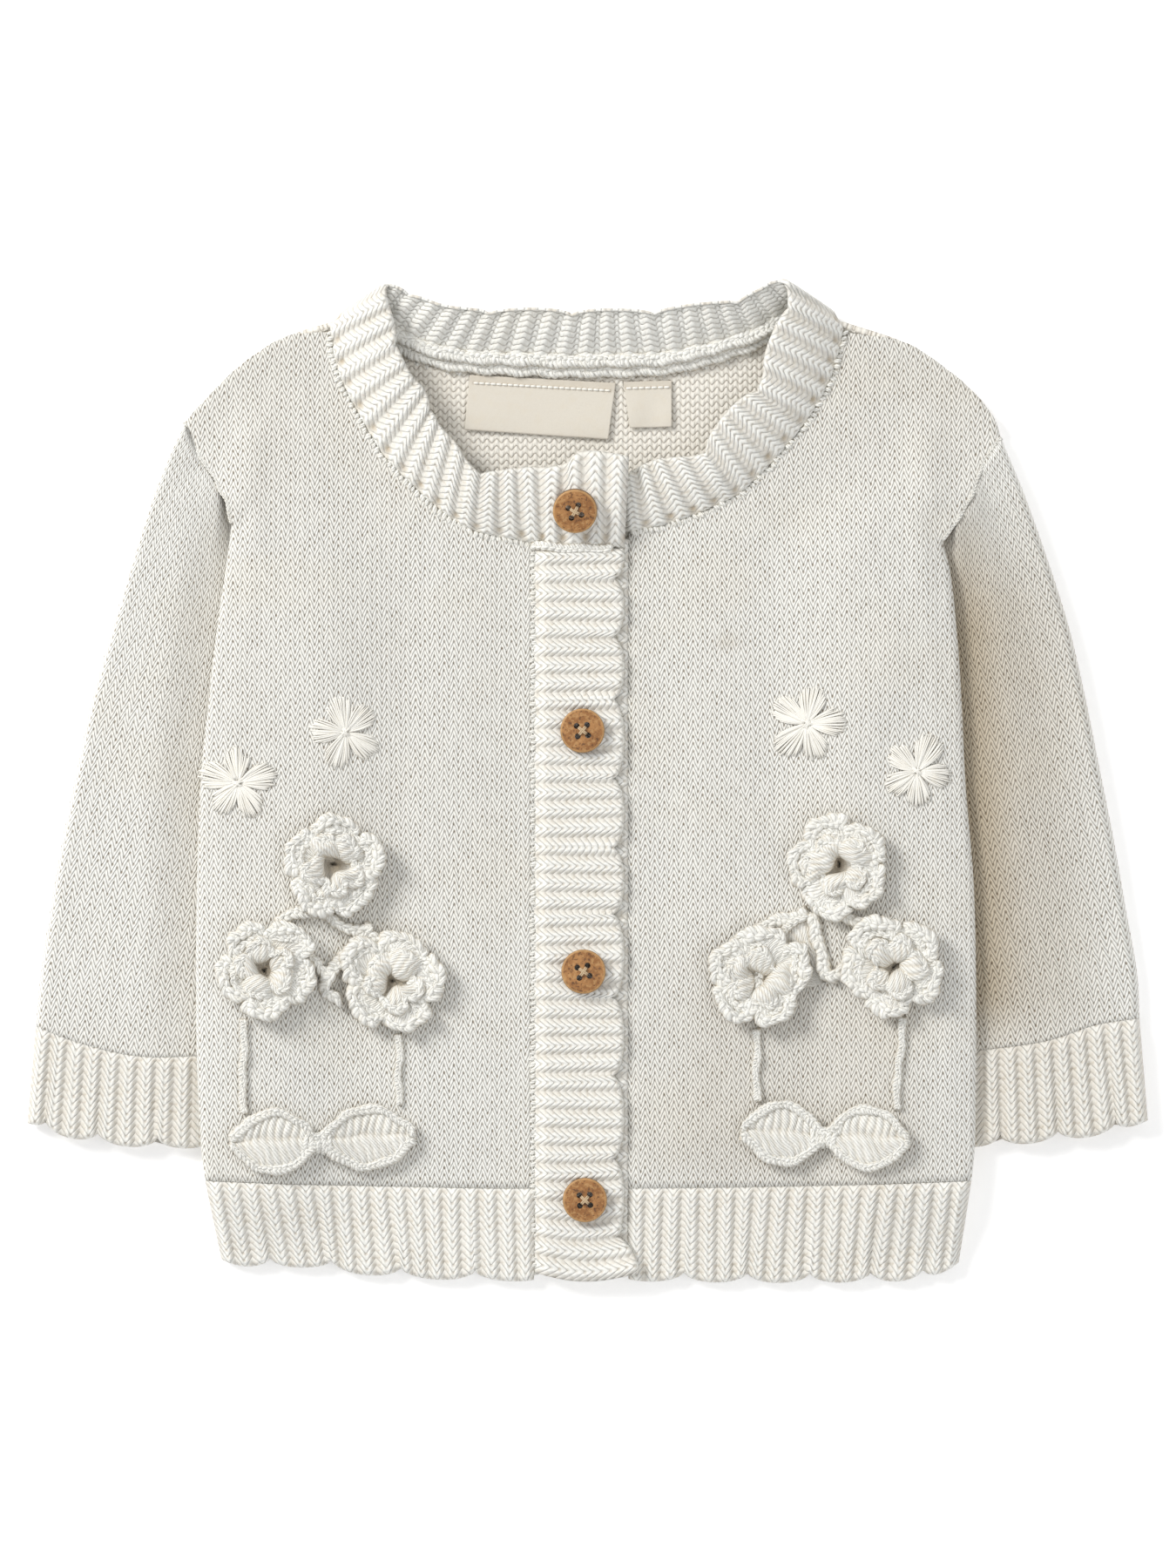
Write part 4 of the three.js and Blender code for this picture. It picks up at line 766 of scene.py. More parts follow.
class Effects:
    """The shader node groups that several finishes share."""

    def __init__(self) -> None:
        """Build each group once."""
        self.uneven = self._uneven()
        self.stocking = self._stocking()
        self.purl = self._purl()
        self.plied = self._plied()
        self.fibre = self._fibre()

    @staticmethod
    def _uneven() -> bpy.types.NodeTree:
        """Hand-made unevenness: shifts the place on the cloth a little, and gives a slow shade."""
        graph, given, result = node_group(
            "uneven_hand", {"Stitches": "Vector", "Amount": "Float"}, {"Stitches": "Vector", "Shade": "Float"}
        )
        wander = graph.add(
            "ShaderNodeTexNoise", {"Vector": given.outputs["Stitches"], "Scale": 0.55, "Detail": 2.0},
            noise_dimensions="2D",
        )
        centred = graph.add(
            "ShaderNodeVectorMath", {0: wander.outputs["Color"], 1: (0.5, 0.5, 0.5)}, operation="SUBTRACT"
        )
        scaled = graph.add("ShaderNodeVectorMath", {0: centred.outputs[0]}, operation="SCALE")
        graph.tree.links.new(given.outputs["Amount"], scaled.inputs["Scale"])
        moved = graph.add(
            "ShaderNodeVectorMath", {0: given.outputs["Stitches"], 1: scaled.outputs[0]}, operation="ADD"
        )
        slow = graph.add(
            "ShaderNodeTexNoise", {"Vector": given.outputs["Stitches"], "Scale": 0.07, "Detail": 2.0},
            noise_dimensions="2D",
        )
        graph.tree.links.new(moved.outputs[0], result.inputs["Stitches"])
        graph.tree.links.new(slow.outputs[0], result.inputs["Shade"])
        return graph.tree

    @staticmethod
    def _stocking() -> bpy.types.NodeTree:
        """Stocking stitch from the right side: columns of vees."""
        graph, given, result = node_group(
            "stocking_stitch", {"Stitches": "Vector"},
            {"Height": "Float", "Hollow": "Float", "Stitch": "Float"},
        )
        place = graph.add("ShaderNodeSeparateXYZ", {0: given.outputs["Stitches"]})
        across = graph.math("FRACT", place.outputs[0])
        middle = graph.math("MULTIPLY", graph.math("ABSOLUTE", graph.math("SUBTRACT", across, 0.5)), 2.0)
        climb = graph.math("MULTIPLY_ADD", middle, -1.5, place.outputs[1])
        leg = graph.strand(graph.math("FRACT", climb))
        rise = graph.ease(middle, 0.0, 0.3, 0.72, 1.0)
        body = graph.math("MULTIPLY", rise, graph.ease(middle, 0.66, 1.0, 1.0, 0.5))
        half = graph.math("FLOOR", graph.math("MULTIPLY", place.outputs[0], 2.0))
        key = graph.add("ShaderNodeCombineXYZ", {0: half, 1: graph.math("FLOOR", climb)})
        noise = graph.add("ShaderNodeTexWhiteNoise", {"Vector": key.outputs[0]}, noise_dimensions="2D")
        chance = noise.outputs[0]
        height = graph.math("MULTIPLY", leg, body)
        lively = graph.math("MULTIPLY", height, graph.math("MULTIPLY_ADD", chance, 0.24, 0.88))
        low = graph.math("MULTIPLY", graph.math("SUBTRACT", 1.0, leg), 0.4)
        centre = Effects._dot(graph, middle, graph.math("ADD", place.outputs[1], 0.5))
        between = Effects._dot(graph, graph.math("SUBTRACT", 1.0, middle), place.outputs[1])
        uneven = graph.ease(chance, 0.0, 1.0, 0.55, 1.0)
        dots = graph.math("MULTIPLY", graph.math("MAXIMUM", centre, between), uneven)
        # Hollow is painted shade: the small holes between and in the middle of the wales, and the gaps
        # between the legs.
        hollow = graph.math("MAXIMUM", dots, low)
        graph.tree.links.new(lively, result.inputs["Height"])
        graph.tree.links.new(hollow, result.inputs["Hollow"])
        graph.tree.links.new(chance, result.inputs["Stitch"])
        return graph.tree

    @staticmethod
    def _dot(graph: Graph, aside: object, climb: object) -> bpy.types.NodeSocket:
        """A small upright hole in each course, shown as painted shade, by the distance to its side and the
        place along the wale.
        """
        offset = graph.math("SUBTRACT", graph.math("FRACT", climb), 0.5)
        place = graph.add("ShaderNodeCombineXYZ", {0: aside, 1: graph.math("MULTIPLY", offset, 0.95)})
        away = graph.add("ShaderNodeVectorMath", {0: place.outputs[0]}, operation="LENGTH").outputs["Value"]
        return graph.ease(away, 0.1, 0.33, 1.0, 0.0)

    @staticmethod
    def _purl() -> bpy.types.NodeTree:
        """Stocking stitch from the wrong side: rows of interlocking bumps."""
        graph, given, result = node_group(
            "purl_stitch", {"Stitches": "Vector"}, {"Height": "Float", "Hollow": "Float"}
        )
        place = graph.add("ShaderNodeSeparateXYZ", {0: given.outputs["Stitches"]})
        wave = graph.math("COSINE", graph.math("MULTIPLY", place.outputs[0], 2 * math.pi))
        bent = graph.math("MULTIPLY_ADD", wave, 0.3, place.outputs[1])
        row = graph.strand(graph.math("FRACT", bent))
        crown = graph.math("MULTIPLY_ADD", graph.math("ABSOLUTE", wave), 0.45, 0.55)
        height = graph.math("MULTIPLY", row, crown)
        # Hollow is painted shade between the bumps.
        hollow = graph.math("POWER", graph.math("SUBTRACT", 1.0, height), 1.6)
        graph.tree.links.new(height, result.inputs["Height"])
        graph.tree.links.new(hollow, result.inputs["Hollow"])
        return graph.tree

    @staticmethod
    def _plied() -> bpy.types.NodeTree:
        """Plied yarn: slanting plies round a strand, on a map of turns across and millimetres along."""
        graph, given, result = node_group("plied_yarn", {"Stitches": "Vector"}, {"Height": "Float"})
        place = graph.add("ShaderNodeSeparateXYZ", {0: given.outputs["Stitches"]})
        turns = graph.math("MULTIPLY", place.outputs[0], 4.0)
        slant = graph.math("MULTIPLY_ADD", place.outputs[1], 0.8, turns)
        graph.tree.links.new(graph.strand(graph.math("FRACT", slant)), result.inputs["Height"])
        return graph.tree

    @staticmethod
    def _fibre() -> bpy.types.NodeTree:
        """Cotton fibres: fine relief and a soft mottle, on object coordinates."""
        graph, given, result = node_group(
            "cotton_fibre", {"Place": "Vector"}, {"Height": "Float", "Mottle": "Float"}
        )
        place = given.outputs["Place"]
        fine = graph.add(
            "ShaderNodeTexNoise", {"Vector": place, "Scale": 1500.0, "Detail": 3.0, "Roughness": 0.65}
        )
        soft = graph.add("ShaderNodeTexNoise", {"Vector": place, "Scale": 300.0, "Detail": 2.0})
        graph.tree.links.new(fine.outputs[0], result.inputs["Height"])
        graph.tree.links.new(soft.outputs[0], result.inputs["Mottle"])
        return graph.tree


class Face(Enum):
    """Which way the knit shows on a piece."""

    STOCKING = "stocking"
    PURL = "purl"
    MODELLED = "modelled"
    RIB = "rib"
    YARN = "yarn"


@dataclass(frozen=True)
class CottonFinish:
    """A matt cotton cloth or yarn, lighter on its strands, with painted shade in a warmer, darker colour in
    its hollows.
    """

    name: str
    face: Face
    colour: tuple[float, float, float] = (0.95, 0.948, 0.905)
    # The next colour is painted shade for the hollows, and the strength says how much of it is mixed in.
    hollow_shade_colour: tuple[float, float, float] = (0.28, 0.22, 0.15)
    hollow_shade_strength: float = 0.95
    unevenness: float = 0.22
    relief: float = 0.42
    fibre: float = 0.16
    wales: float = 1.0

    def build(self, effects: Effects) -> bpy.types.Material:
        """Make the material.

        Args:
            effects: the shared node groups.

        Returns:
            The material.
        """
        material = bpy.data.materials.new(self.name)
        material.use_nodes = True
        material.diffuse_color = (*self.colour, 1.0)
        graph = Graph(material.node_tree)
        shader = material.node_tree.nodes["Principled BSDF"]
        shader.inputs["Roughness"].default_value = 0.92
        shader.inputs["Specular IOR Level"].default_value = 0.2
        shader.inputs["Sheen Weight"].default_value = 0.12
        shader.inputs["Sheen Roughness"].default_value = 0.6
        place = graph.add("ShaderNodeTexCoord").outputs["Object"]
        fibre = graph.add("ShaderNodeGroup", node_tree=effects.fibre)
        graph.tree.links.new(place, fibre.inputs["Place"])
        stitches = graph.add("ShaderNodeUVMap", uv_map="stitches").outputs[0]
        if self.face in (Face.MODELLED, Face.RIB, Face.YARN):
            stored = graph.add("ShaderNodeAttribute", attribute_name="hollow", attribute_type="GEOMETRY")
            hollow = stored.outputs["Fac"]
            height, shade = 0.0, fibre.outputs["Mottle"]
        if self.face is Face.YARN:
            plied = graph.add("ShaderNodeGroup", node_tree=effects.plied)
            graph.tree.links.new(stitches, plied.inputs["Stitches"])
            height = plied.outputs["Height"]
            # Painted shade between the plies of the yarn.
            hollow = graph.math("MAXIMUM", hollow, graph.math("MULTIPLY_ADD", height, -0.3, 0.3))
        elif self.face is Face.RIB:
            knit = graph.add("ShaderNodeGroup", node_tree=effects.stocking)
            graph.tree.links.new(stitches, knit.inputs["Stitches"])
            height = knit.outputs["Height"]
            hollow = graph.math("MAXIMUM", hollow, graph.math("MULTIPLY", knit.outputs["Hollow"], 0.7))
        elif self.face is not Face.MODELLED:
            uneven = graph.add("ShaderNodeGroup", node_tree=effects.uneven)
            counted = graph.add(
                "ShaderNodeVectorMath", {0: stitches, 1: (self.wales, 1.0, 1.0)}, operation="MULTIPLY"
            )
            graph.tree.links.new(counted.outputs[0], uneven.inputs["Stitches"])
            uneven.inputs["Amount"].default_value = self.unevenness
            knit_tree = effects.stocking if self.face is Face.STOCKING else effects.purl
            knit = graph.add("ShaderNodeGroup", node_tree=knit_tree)
            graph.tree.links.new(uneven.outputs["Stitches"], knit.inputs["Stitches"])
            hollow, height, shade = knit.outputs["Hollow"], knit.outputs["Height"], uneven.outputs["Shade"]
        # Painted shade: the hollows take the darker hollow colour, a little unevenly with the fibre mottle.
        depth = graph.math("MULTIPLY", hollow, graph.ease(fibre.outputs["Mottle"], 0.3, 0.7, 0.75, 1.0))
        factor = graph.math("MULTIPLY", depth, self.hollow_shade_strength)
        colour = graph.mix(factor, self.colour, self.hollow_shade_colour)
        warm = tuple(c * k for c, k in zip(self.colour, (0.985, 0.955, 0.9)))
        worn = graph.ease(shade, 0.45, 0.75, 0.0, 0.35)
        colour = graph.mix(worn, colour, graph.mix(factor, warm, self.hollow_shade_colour))
        # The dim attribute multiplies in a warm beige: painted shade on the sleeves and fronts, and the small
        # flat spot on the left front.
        dim = graph.add("ShaderNodeAttribute", attribute_name="dim", attribute_type="GEOMETRY").outputs["Fac"]
        dimmed = graph.add("ShaderNodeMix", {0: dim}, data_type="RGBA", blend_type="MULTIPLY")
        graph.tree.links.new(colour, dimmed.inputs[6])
        dimmed.inputs[7].default_value = (0.5, 0.41, 0.29, 1.0)
        colour = dimmed.outputs[2]
        graph.tree.links.new(colour, shader.inputs["Base Color"])
        fuzz = graph.math("MULTIPLY", fibre.outputs["Height"], self.fibre)
        lift = graph.math("MULTIPLY_ADD", height, self.relief, fuzz)
        bump = graph.add("ShaderNodeBump", {"Strength": 1.0, "Distance": MM, "Height": lift})
        graph.tree.links.new(bump.outputs[0], shader.inputs["Normal"])
        return material


@dataclass(frozen=True)
class CoconutFinish:
    """Polished coconut shell: tan, grainy, with dark flecks and a darker side."""

    face: tuple[float, float, float] = (0.29, 0.122, 0.034)
    pale: tuple[float, float, float] = (0.44, 0.212, 0.072)
    light: tuple[float, float, float] = (0.6, 0.36, 0.15)
    dark: tuple[float, float, float] = (0.1, 0.042, 0.016)
    side: tuple[float, float, float] = (0.17, 0.09, 0.04)

    def build(self) -> bpy.types.Material:
        """Make the material, which reads the button's own round map."""
        material = bpy.data.materials.new("coconut_shell")
        material.use_nodes = True
        material.diffuse_color = (*self.face, 1.0)
        graph = Graph(material.node_tree)
        shader = material.node_tree.nodes["Principled BSDF"]
        place = graph.add("ShaderNodeTexCoord").outputs["Object"]
        around = graph.add("ShaderNodeUVMap", uv_map="round").outputs[0]
        grain = graph.add("ShaderNodeTexNoise", {"Vector": place, "Scale": 950.0, "Detail": 4.0}).outputs[0]
        cloud = graph.add("ShaderNodeTexNoise", {"Vector": place, "Scale": 260.0, "Detail": 3.0}).outputs[0]
        streak = graph.add("ShaderNodeTexNoise", {"Vector": around, "Scale": 9.0, "Detail": 2.0}).outputs[0]
        radius = graph.add("ShaderNodeVectorMath", {0: around}, operation="LENGTH").outputs["Value"]
        colour = graph.mix(graph.ease(cloud, 0.35, 0.7), self.face, self.pale)
        colour = graph.mix(graph.ease(grain, 0.36, 0.48, 0.45, 0.0), colour, self.light)
        colour = graph.mix(graph.ease(grain, 0.55, 0.66, 0.0, 0.75), colour, self.dark)
        colour = graph.mix(graph.ease(streak, 0.6, 0.67, 0.0, 0.75), colour, self.dark)
        colour = graph.mix(graph.ease(radius, 0.88, 0.95, 0.0, 0.6), colour, self.light)
        colour = graph.mix(graph.ease(radius, 1.1, 1.3), colour, self.side)
        graph.tree.links.new(colour, shader.inputs["Base Color"])
        shader.inputs["Roughness"].default_value = 0.55
        lift = graph.math("MULTIPLY", grain, 0.12)
        bump = graph.add("ShaderNodeBump", {"Strength": 0.6, "Distance": MM, "Height": lift})
        graph.tree.links.new(bump.outputs[0], shader.inputs["Normal"])
        return material


class Finishes:
    """Every material of the cardigan, built once."""

    def __init__(self) -> None:
        """Build the shared effects and the materials."""
        effects = Effects()
        self.knit = CottonFinish("knit_right_side", Face.STOCKING).build(effects)
        # The wrong side is a darker, warmer copy of the yarn's colour: painted shade for the inside of the
        # neck.
        self.inside = CottonFinish(
            "knit_wrong_side", Face.PURL, colour=(0.92, 0.89, 0.82), hollow_shade_colour=(0.42, 0.34, 0.24),
            hollow_shade_strength=0.75,
        ).build(effects)
        self.rib = CottonFinish(
            "knit_rib", Face.RIB, colour=(0.96, 0.96, 0.92), hollow_shade_colour=(0.48, 0.39, 0.27),
            hollow_shade_strength=0.72, relief=0.42,
        ).build(effects)
        self.rib_inside = CottonFinish(
            "knit_rib_inside", Face.PURL, hollow_shade_colour=(0.5, 0.41, 0.29), hollow_shade_strength=0.5, wales=2.0
        ).build(effects)
        self.yarn = CottonFinish(
            "crochet_yarn", Face.YARN, hollow_shade_colour=(0.62, 0.49, 0.31), hollow_shade_strength=0.75,
            relief=0.24, fibre=0.3,
        ).build(effects)
        self.thread = CottonFinish(
            "embroidery_thread", Face.MODELLED, colour=(0.95, 0.935, 0.88), hollow_shade_colour=(0.45, 0.38, 0.28),
            hollow_shade_strength=0.8, fibre=0.08,
        ).build(effects)
        self.sewing = CottonFinish(
            "sewing_thread", Face.MODELLED, colour=(0.62, 0.47, 0.3), hollow_shade_colour=(0.3, 0.2, 0.1)
        ).build(effects)
        self.tape = CottonFinish(
            "label_tape", Face.MODELLED, colour=(0.73, 0.685, 0.6), hollow_shade_colour=(0.36, 0.28, 0.19),
            fibre=0.1,
        ).build(effects)
        self.coconut = CoconutFinish().build()


def side_edge(sign: int) -> Curve:
    """The side of the body, from the hem seam to the underarm."""
    column = 1 if sign < 0 else 2
    top = ARMHOLE[sign][0]
    inner = BODY_SIDE[(BODY_SIDE[:, 0] > -110) & (BODY_SIDE[:, 0] < top[1] - 4)]
    first = (float(lookup(BODY_SIDE, column, HEM_SEAM_Y)), HEM_SEAM_Y)
    rows = np.array([first, *inner[:, [column, 0]], top])
    return along(spline(plan_points(rows, sign)))


@dataclass
class Front:
    """One front of the body, from the side fold to its band."""

    sign: int
    columns: int = 60
    rows: int = 120
    band_share: float = 0.64
    underarm_share: float = 0.68
    armhole_share: float = 0.82

    def plan(self, us: Array, vs: Array) -> Array:
        """Plan points of the panel, in rows from its outer edge to the band's seam and the neck."""
        sign = self.sign
        band_x = BAND_SEAM_X if sign < 0 else BUTTON_BAND_TO
        first, last = NECK_ROWS[sign]
        neck = neck_edge((first, last - 1) if sign < 0 else (first + 1, last))
        neck_up = neck if sign < 0 else (lambda t: neck(1 - t))
        peak = neck_up(np.array([1.0]))
        shoulder = along(spline(np.vstack([plan_points(SHOULDER[sign][:-1], sign), peak])))
        armhole = along(spline(plan_points(ARMHOLE[sign], sign)))
        inner_share = self.underarm_share / self.armhole_share
        lower = joined(side_edge(sign), armhole, inner_share)
        outside = joined(lower, shoulder, self.armhole_share)
        bottom = hem_seam(float(outside(np.array([0.0]))[0, 0]), band_x)
        seam_top = np.array([[band_x, float(neck_up(np.array([0.0]))[0, 1])]])

        def seam(t: Array) -> Array:
            """The seam to the band."""
            return lerp(bottom(np.array([1.0])), seam_top, t[:, None])

        def neck_from_seam(t: Array) -> Array:
            """The neck edge, which starts at the band's seam."""
            return neck_up(t) + (seam_top - neck_up(np.array([0.0]))) * (1 - smoothstep(t, 0.0, 0.1))[:, None]

        def top(t: Array) -> Array:
            """The point where the shoulder meets the neck."""
            return np.repeat(peak, len(t), axis=0)

        return patch(bottom, top, outside, joined(seam, neck_from_seam, self.band_share), us, vs)

    def build(self, finishes: Finishes) -> bpy.types.Object:
        """Make the front as a shell and dress it.

        Args:
            finishes: the materials.

        Returns:
            The piece.
        """
        us, vs = edge_spaced(self.columns, True, False), np.linspace(0, 1, self.rows + 1)
        plan = self.plan(us, vs)
        x, y = plan[..., 0], plan[..., 1]
        v = np.broadcast_to(vs[:, None], x.shape)
        from_edge = np.hypot(x - x[:, :1], y - y[:, :1])
        at_armhole = (v > self.underarm_share) & (v <= self.armhole_share)
        apart = plan[:, :, None] - plan[None, vs > self.armhole_share, 0][:, None, ::3]
        from_shoulder = np.min(np.linalg.norm(apart, axis=-1), axis=-1)
        fold = np.where(v <= self.underarm_share, from_edge, from_shoulder)
        drop = edge_drop(fold, LAYERS / 2) + edge_drop(np.where(at_armhole, from_edge, 99), 0.5, 1.4)
        z = front_top(x, y) - drop + ripple(x, y)
        points = np.stack([x, y, z], axis=-1)
        stitches = np.stack([x / WALE + 60, y / COURSE + 80], axis=-1)
        if self.sign > 0:
            points, stitches = points[:, ::-1], stitches[:, ::-1]
        dim = front_painted_shade_and_spot(points[..., 0], points[..., 1])
        piece = grid_sheet(f"front_{SIDE_NAMES[self.sign]}_knit", points, stitches, dim=dim)
        apply_modifier(piece, "SOLIDIFY", thickness=SHELL * MM, offset=-1.0, material_offset=1)
        dress(piece, finishes.knit, finishes.inside)
        settle(piece, "knit", f"front_{SIDE_NAMES[self.sign]}")
        area = 0.95 * sheet_area(points)
        return piece


def front_painted_shade_and_spot(x: Array, y: Array) -> Array:
    """The faint beige painted shade on the fronts, on the lower part of the left one and growing towards the
    neck and shoulders, with the one small flat spot on the left one.
    """
    lower_left = smoothstep(x, 0, 40) * (1 - smoothstep(x, 85, 105)) * (1 - smoothstep(y, -75, -30))
    spot = np.exp(-(((x - 40) / 3.4) ** 4) - ((y - 40.7) / 2.4) ** 4)
    at_hem = 1 - smoothstep(y, -122, -106)
    upright = 0.04 * smoothstep(y, -60, 0) + 0.1 * smoothstep(y, 60, 115)
    # lower_left and upright are painted shade; spot is a small flat mark on the cloth.
    return upright + lower_left * (0.2 - 0.15 * at_hem) + 0.25 * spot


def ripple(x: Array, y: Array) -> Array:
    """The slight unevenness of hand-smoothed cloth."""
    return 0.18 * np.sin(x / 13 + 1.3 * np.sin(y / 31)) * np.sin(y / 17 + 0.8 * np.sin(x / 23))


def hem_seam(from_x: float, to_x: float) -> Curve:
    """The line where the hem ribbing starts."""
    def read(t: Array) -> Array:
        """The points at shares of the line."""
        x = lerp(from_x, to_x, np.asarray(t))
        return np.stack([x, HEM_SEAM_Y - HEM_SEAM_DIP * (1 - (x / 112) ** 2)], axis=-1)

    return read


def neck_spline(columns: tuple[int, int], steps: int = 24) -> Array:
    """Samples of the neckband's seam or free edge in plan, evenly many to a row."""
    return spline(NECKBAND[:, columns], centripetal=False, steps=steps)


def neck_edge(rows: tuple[int, int], gap: float = 0.2) -> Curve:
    """A panel's neck edge: the neckband's seam between two rows, moved out by a gap."""
    steps = 24
    seam, edge = neck_spline((0, 1), steps), neck_spline((2, 3), steps)
    first, last = rows[0] * steps, rows[1] * steps + 1
    away = seam[first:last] - edge[first:last]
    away /= np.linalg.norm(away, axis=1)[:, None]
    return along(seam[first:last] + away * gap)


@dataclass
class Back:
    """The back of the body, right side down. Its wrong side shows in the neck."""

    columns: int = 90
    rows: int = 125
    shoulder_share: float = 4 / 20
    underarm_share: float = 15 / 20

    def outside(self, sign: int) -> Curve:
        """A side and its armhole as one edge."""
        armhole = along(spline(plan_points(ARMHOLE[sign], sign)))
        return joined(side_edge(sign), armhole, self.underarm_share)

    def build(self, finishes: Finishes) -> bpy.types.Object:
        """Make the back as a shell and dress it.

        Args:
            finishes: the materials.

        Returns:
            The piece.
        """
        right, left = self.outside(-1), self.outside(1)
        neck = neck_edge(NECK_ROWS[0])
        shoulder_right = along(spline(np.vstack([plan_points(SHOULDER[-1][:-1], -1), neck(np.array([0.0]))])))
        rest_left = plan_points(SHOULDER[1][:-1], 1)[::-1]
        shoulder_left = along(spline(np.vstack([neck(np.array([1.0])), rest_left])))
        share = self.shoulder_share
        rest = joined(neck, shoulder_left, 1 - share / (1 - share))
        top = joined(shoulder_right, rest, share)
        ends = [float(edge(np.array([0.0]))[0, 0]) for edge in (right, left)]
        us, vs = edge_spaced(self.columns), np.linspace(0, 1, self.rows + 1)
        plan = patch(hem_seam(*ends), top, right, left, us, vs)
        x, y = plan[..., 0], plan[..., 1]
        u, v = np.meshgrid(us, vs)
        side = np.where(v <= self.underarm_share, np.minimum(u, 1 - u) * 215, 99)
        shoulder = np.where((u <= share) | (u >= 1 - share), (1 - v) * 245, 99)
        z = back_under(x, y) + edge_drop(np.minimum(side, shoulder), LAYERS / 2)
        points = np.stack([x, y, z], axis=-1)
        stitches = np.stack([-x / WALE + 60, y / COURSE + 80], axis=-1)
        piece = grid_sheet("back_panel_knit", points, stitches)
        apply_modifier(piece, "SOLIDIFY", thickness=CLOTH * MM, offset=1.0, material_offset=1)
        dress(piece, finishes.inside, finishes.knit)
        settle(piece, "knit", "back_panel")
        return piece


@dataclass
class Hem:
    """A stretch of hem ribbing, its ribs running down to a scalloped edge."""

    name: str
    from_x: float
    to_x: float
    from_edge_x: float
    to_edge_x: float
    under: Callable[[Array, Array], Array]
    trim: float = 0.0
    back: bool = False

    def build(self, finishes: Finishes) -> bpy.types.Object:
        """Make the ribbing as a shell and dress it.

        Args:
            finishes: the materials.

        Returns:
            The piece.
        """
        ribs = round(abs(self.to_x - self.from_x) / RIB_PITCH)
        per_rib, rows = (6, 30) if self.back else (10, 50)
        us, vs = np.linspace(0, 1, ribs * per_rib + 1), np.linspace(0, 1, rows + 1)
        seam = hem_seam(self.from_x, self.to_x)(us)
        edge_x = lerp(self.from_edge_x, self.to_edge_x, us)
        edge_y = lookup(HEM_EDGE, 1, edge_x) + HEM_NOTCH * scallop(edge_x, HEM_NOTCHES) + self.trim
        low = np.stack([edge_x, edge_y], axis=-1)
        plan = lerp(seam[None], low[None], vs[:, None, None])
        x, y = plan[..., 0], plan[..., 1]
        u, v = np.meshgrid(us, vs)
        length = float(np.abs(seam[:, 1] - low[:, 1]).mean())
        courses = v * length / COURSE
        sway = 0.12 * np.sin(u * 19) * v
        relief, hollow = rib_relief(u * ribs + sway, courses)
        start = smoothstep(v, 0.0, 0.09)
        inside = half_width(x, y) - np.abs(x)
        side = smoothstep(inside, 0.5, 3)
        end = (1 - v) * length
        face = relief * start * side * smoothstep(end, -0.4, 1.2)
        depth = CLOTH / 2
        if self.back:
            z = self.under(x, y) + edge_drop(inside, LAYERS / 2) + edge_drop(end, depth, 1.2)
        else:
            z = self.under(x, y) + CLOTH + face - edge_drop(inside, LAYERS / 2) - edge_drop(end, depth, 1.2)
        points = np.stack([x, y, z], axis=-1)
        stitches = np.stack([u * ribs + sway + 4, 80 - courses], axis=-1)
        if not self.back:
            points, stitches, hollow = points[::-1], stitches[::-1], hollow[::-1]
        dim = front_painted_shade_and_spot(points[..., 0], points[..., 1])
        piece = grid_sheet(f"{self.name}_knit", points, stitches, hollow, dim)
        apply_modifier(piece, "SOLIDIFY", thickness=SHELL * MM, offset=-1.0)
        dress(piece, finishes.rib)
        settle(piece, "knit", self.name)
        width, height = mean_size(points)
        area = 0.98 * min(sheet_area(points), width * height)
        return piece


def hems() -> list[Hem]:
    """The three stretches of hem ribbing."""
    right, left = -float(lookup(BODY_SIDE, 1, HEM_SEAM_Y)), float(lookup(BODY_SIDE, 2, HEM_SEAM_Y))
    edge_right, edge_left = float(HEM_EDGE[0, 0]), float(HEM_EDGE[-1, 0])
    return [
        Hem("hem_front_right", right, BAND_SEAM_X, edge_right, BAND_SEAM_X, front_under),
        Hem("hem_front_left", BUTTON_BAND_TO, left, BUTTON_BAND_TO, edge_left, front_under),
        Hem("hem_back", right, left, edge_right, edge_left, back_under, 1.2, True),
    ]


def sleeve_painted_shade(sign: int, x: Array, y: Array) -> Array:
    """Painted beige shade on a sleeve, deepest beside the body and much stronger on the left one, and faint
    over the cuff.
    """
    clear = np.abs(x) - half_width(x, y)
    lower = 1 - smoothstep(y, 40, 95)
    near, wide = 1 - smoothstep(clear, 2, 18), 1 - smoothstep(clear, 14, 48)
    cuff = 1 - smoothstep(y, -82, -58)
    shade = (0.45 * near + 0.42 * wide) if sign > 0 else 0.16 * near
    return lower * shade * (1 - 0.85 * cuff) + 0.08 * cuff


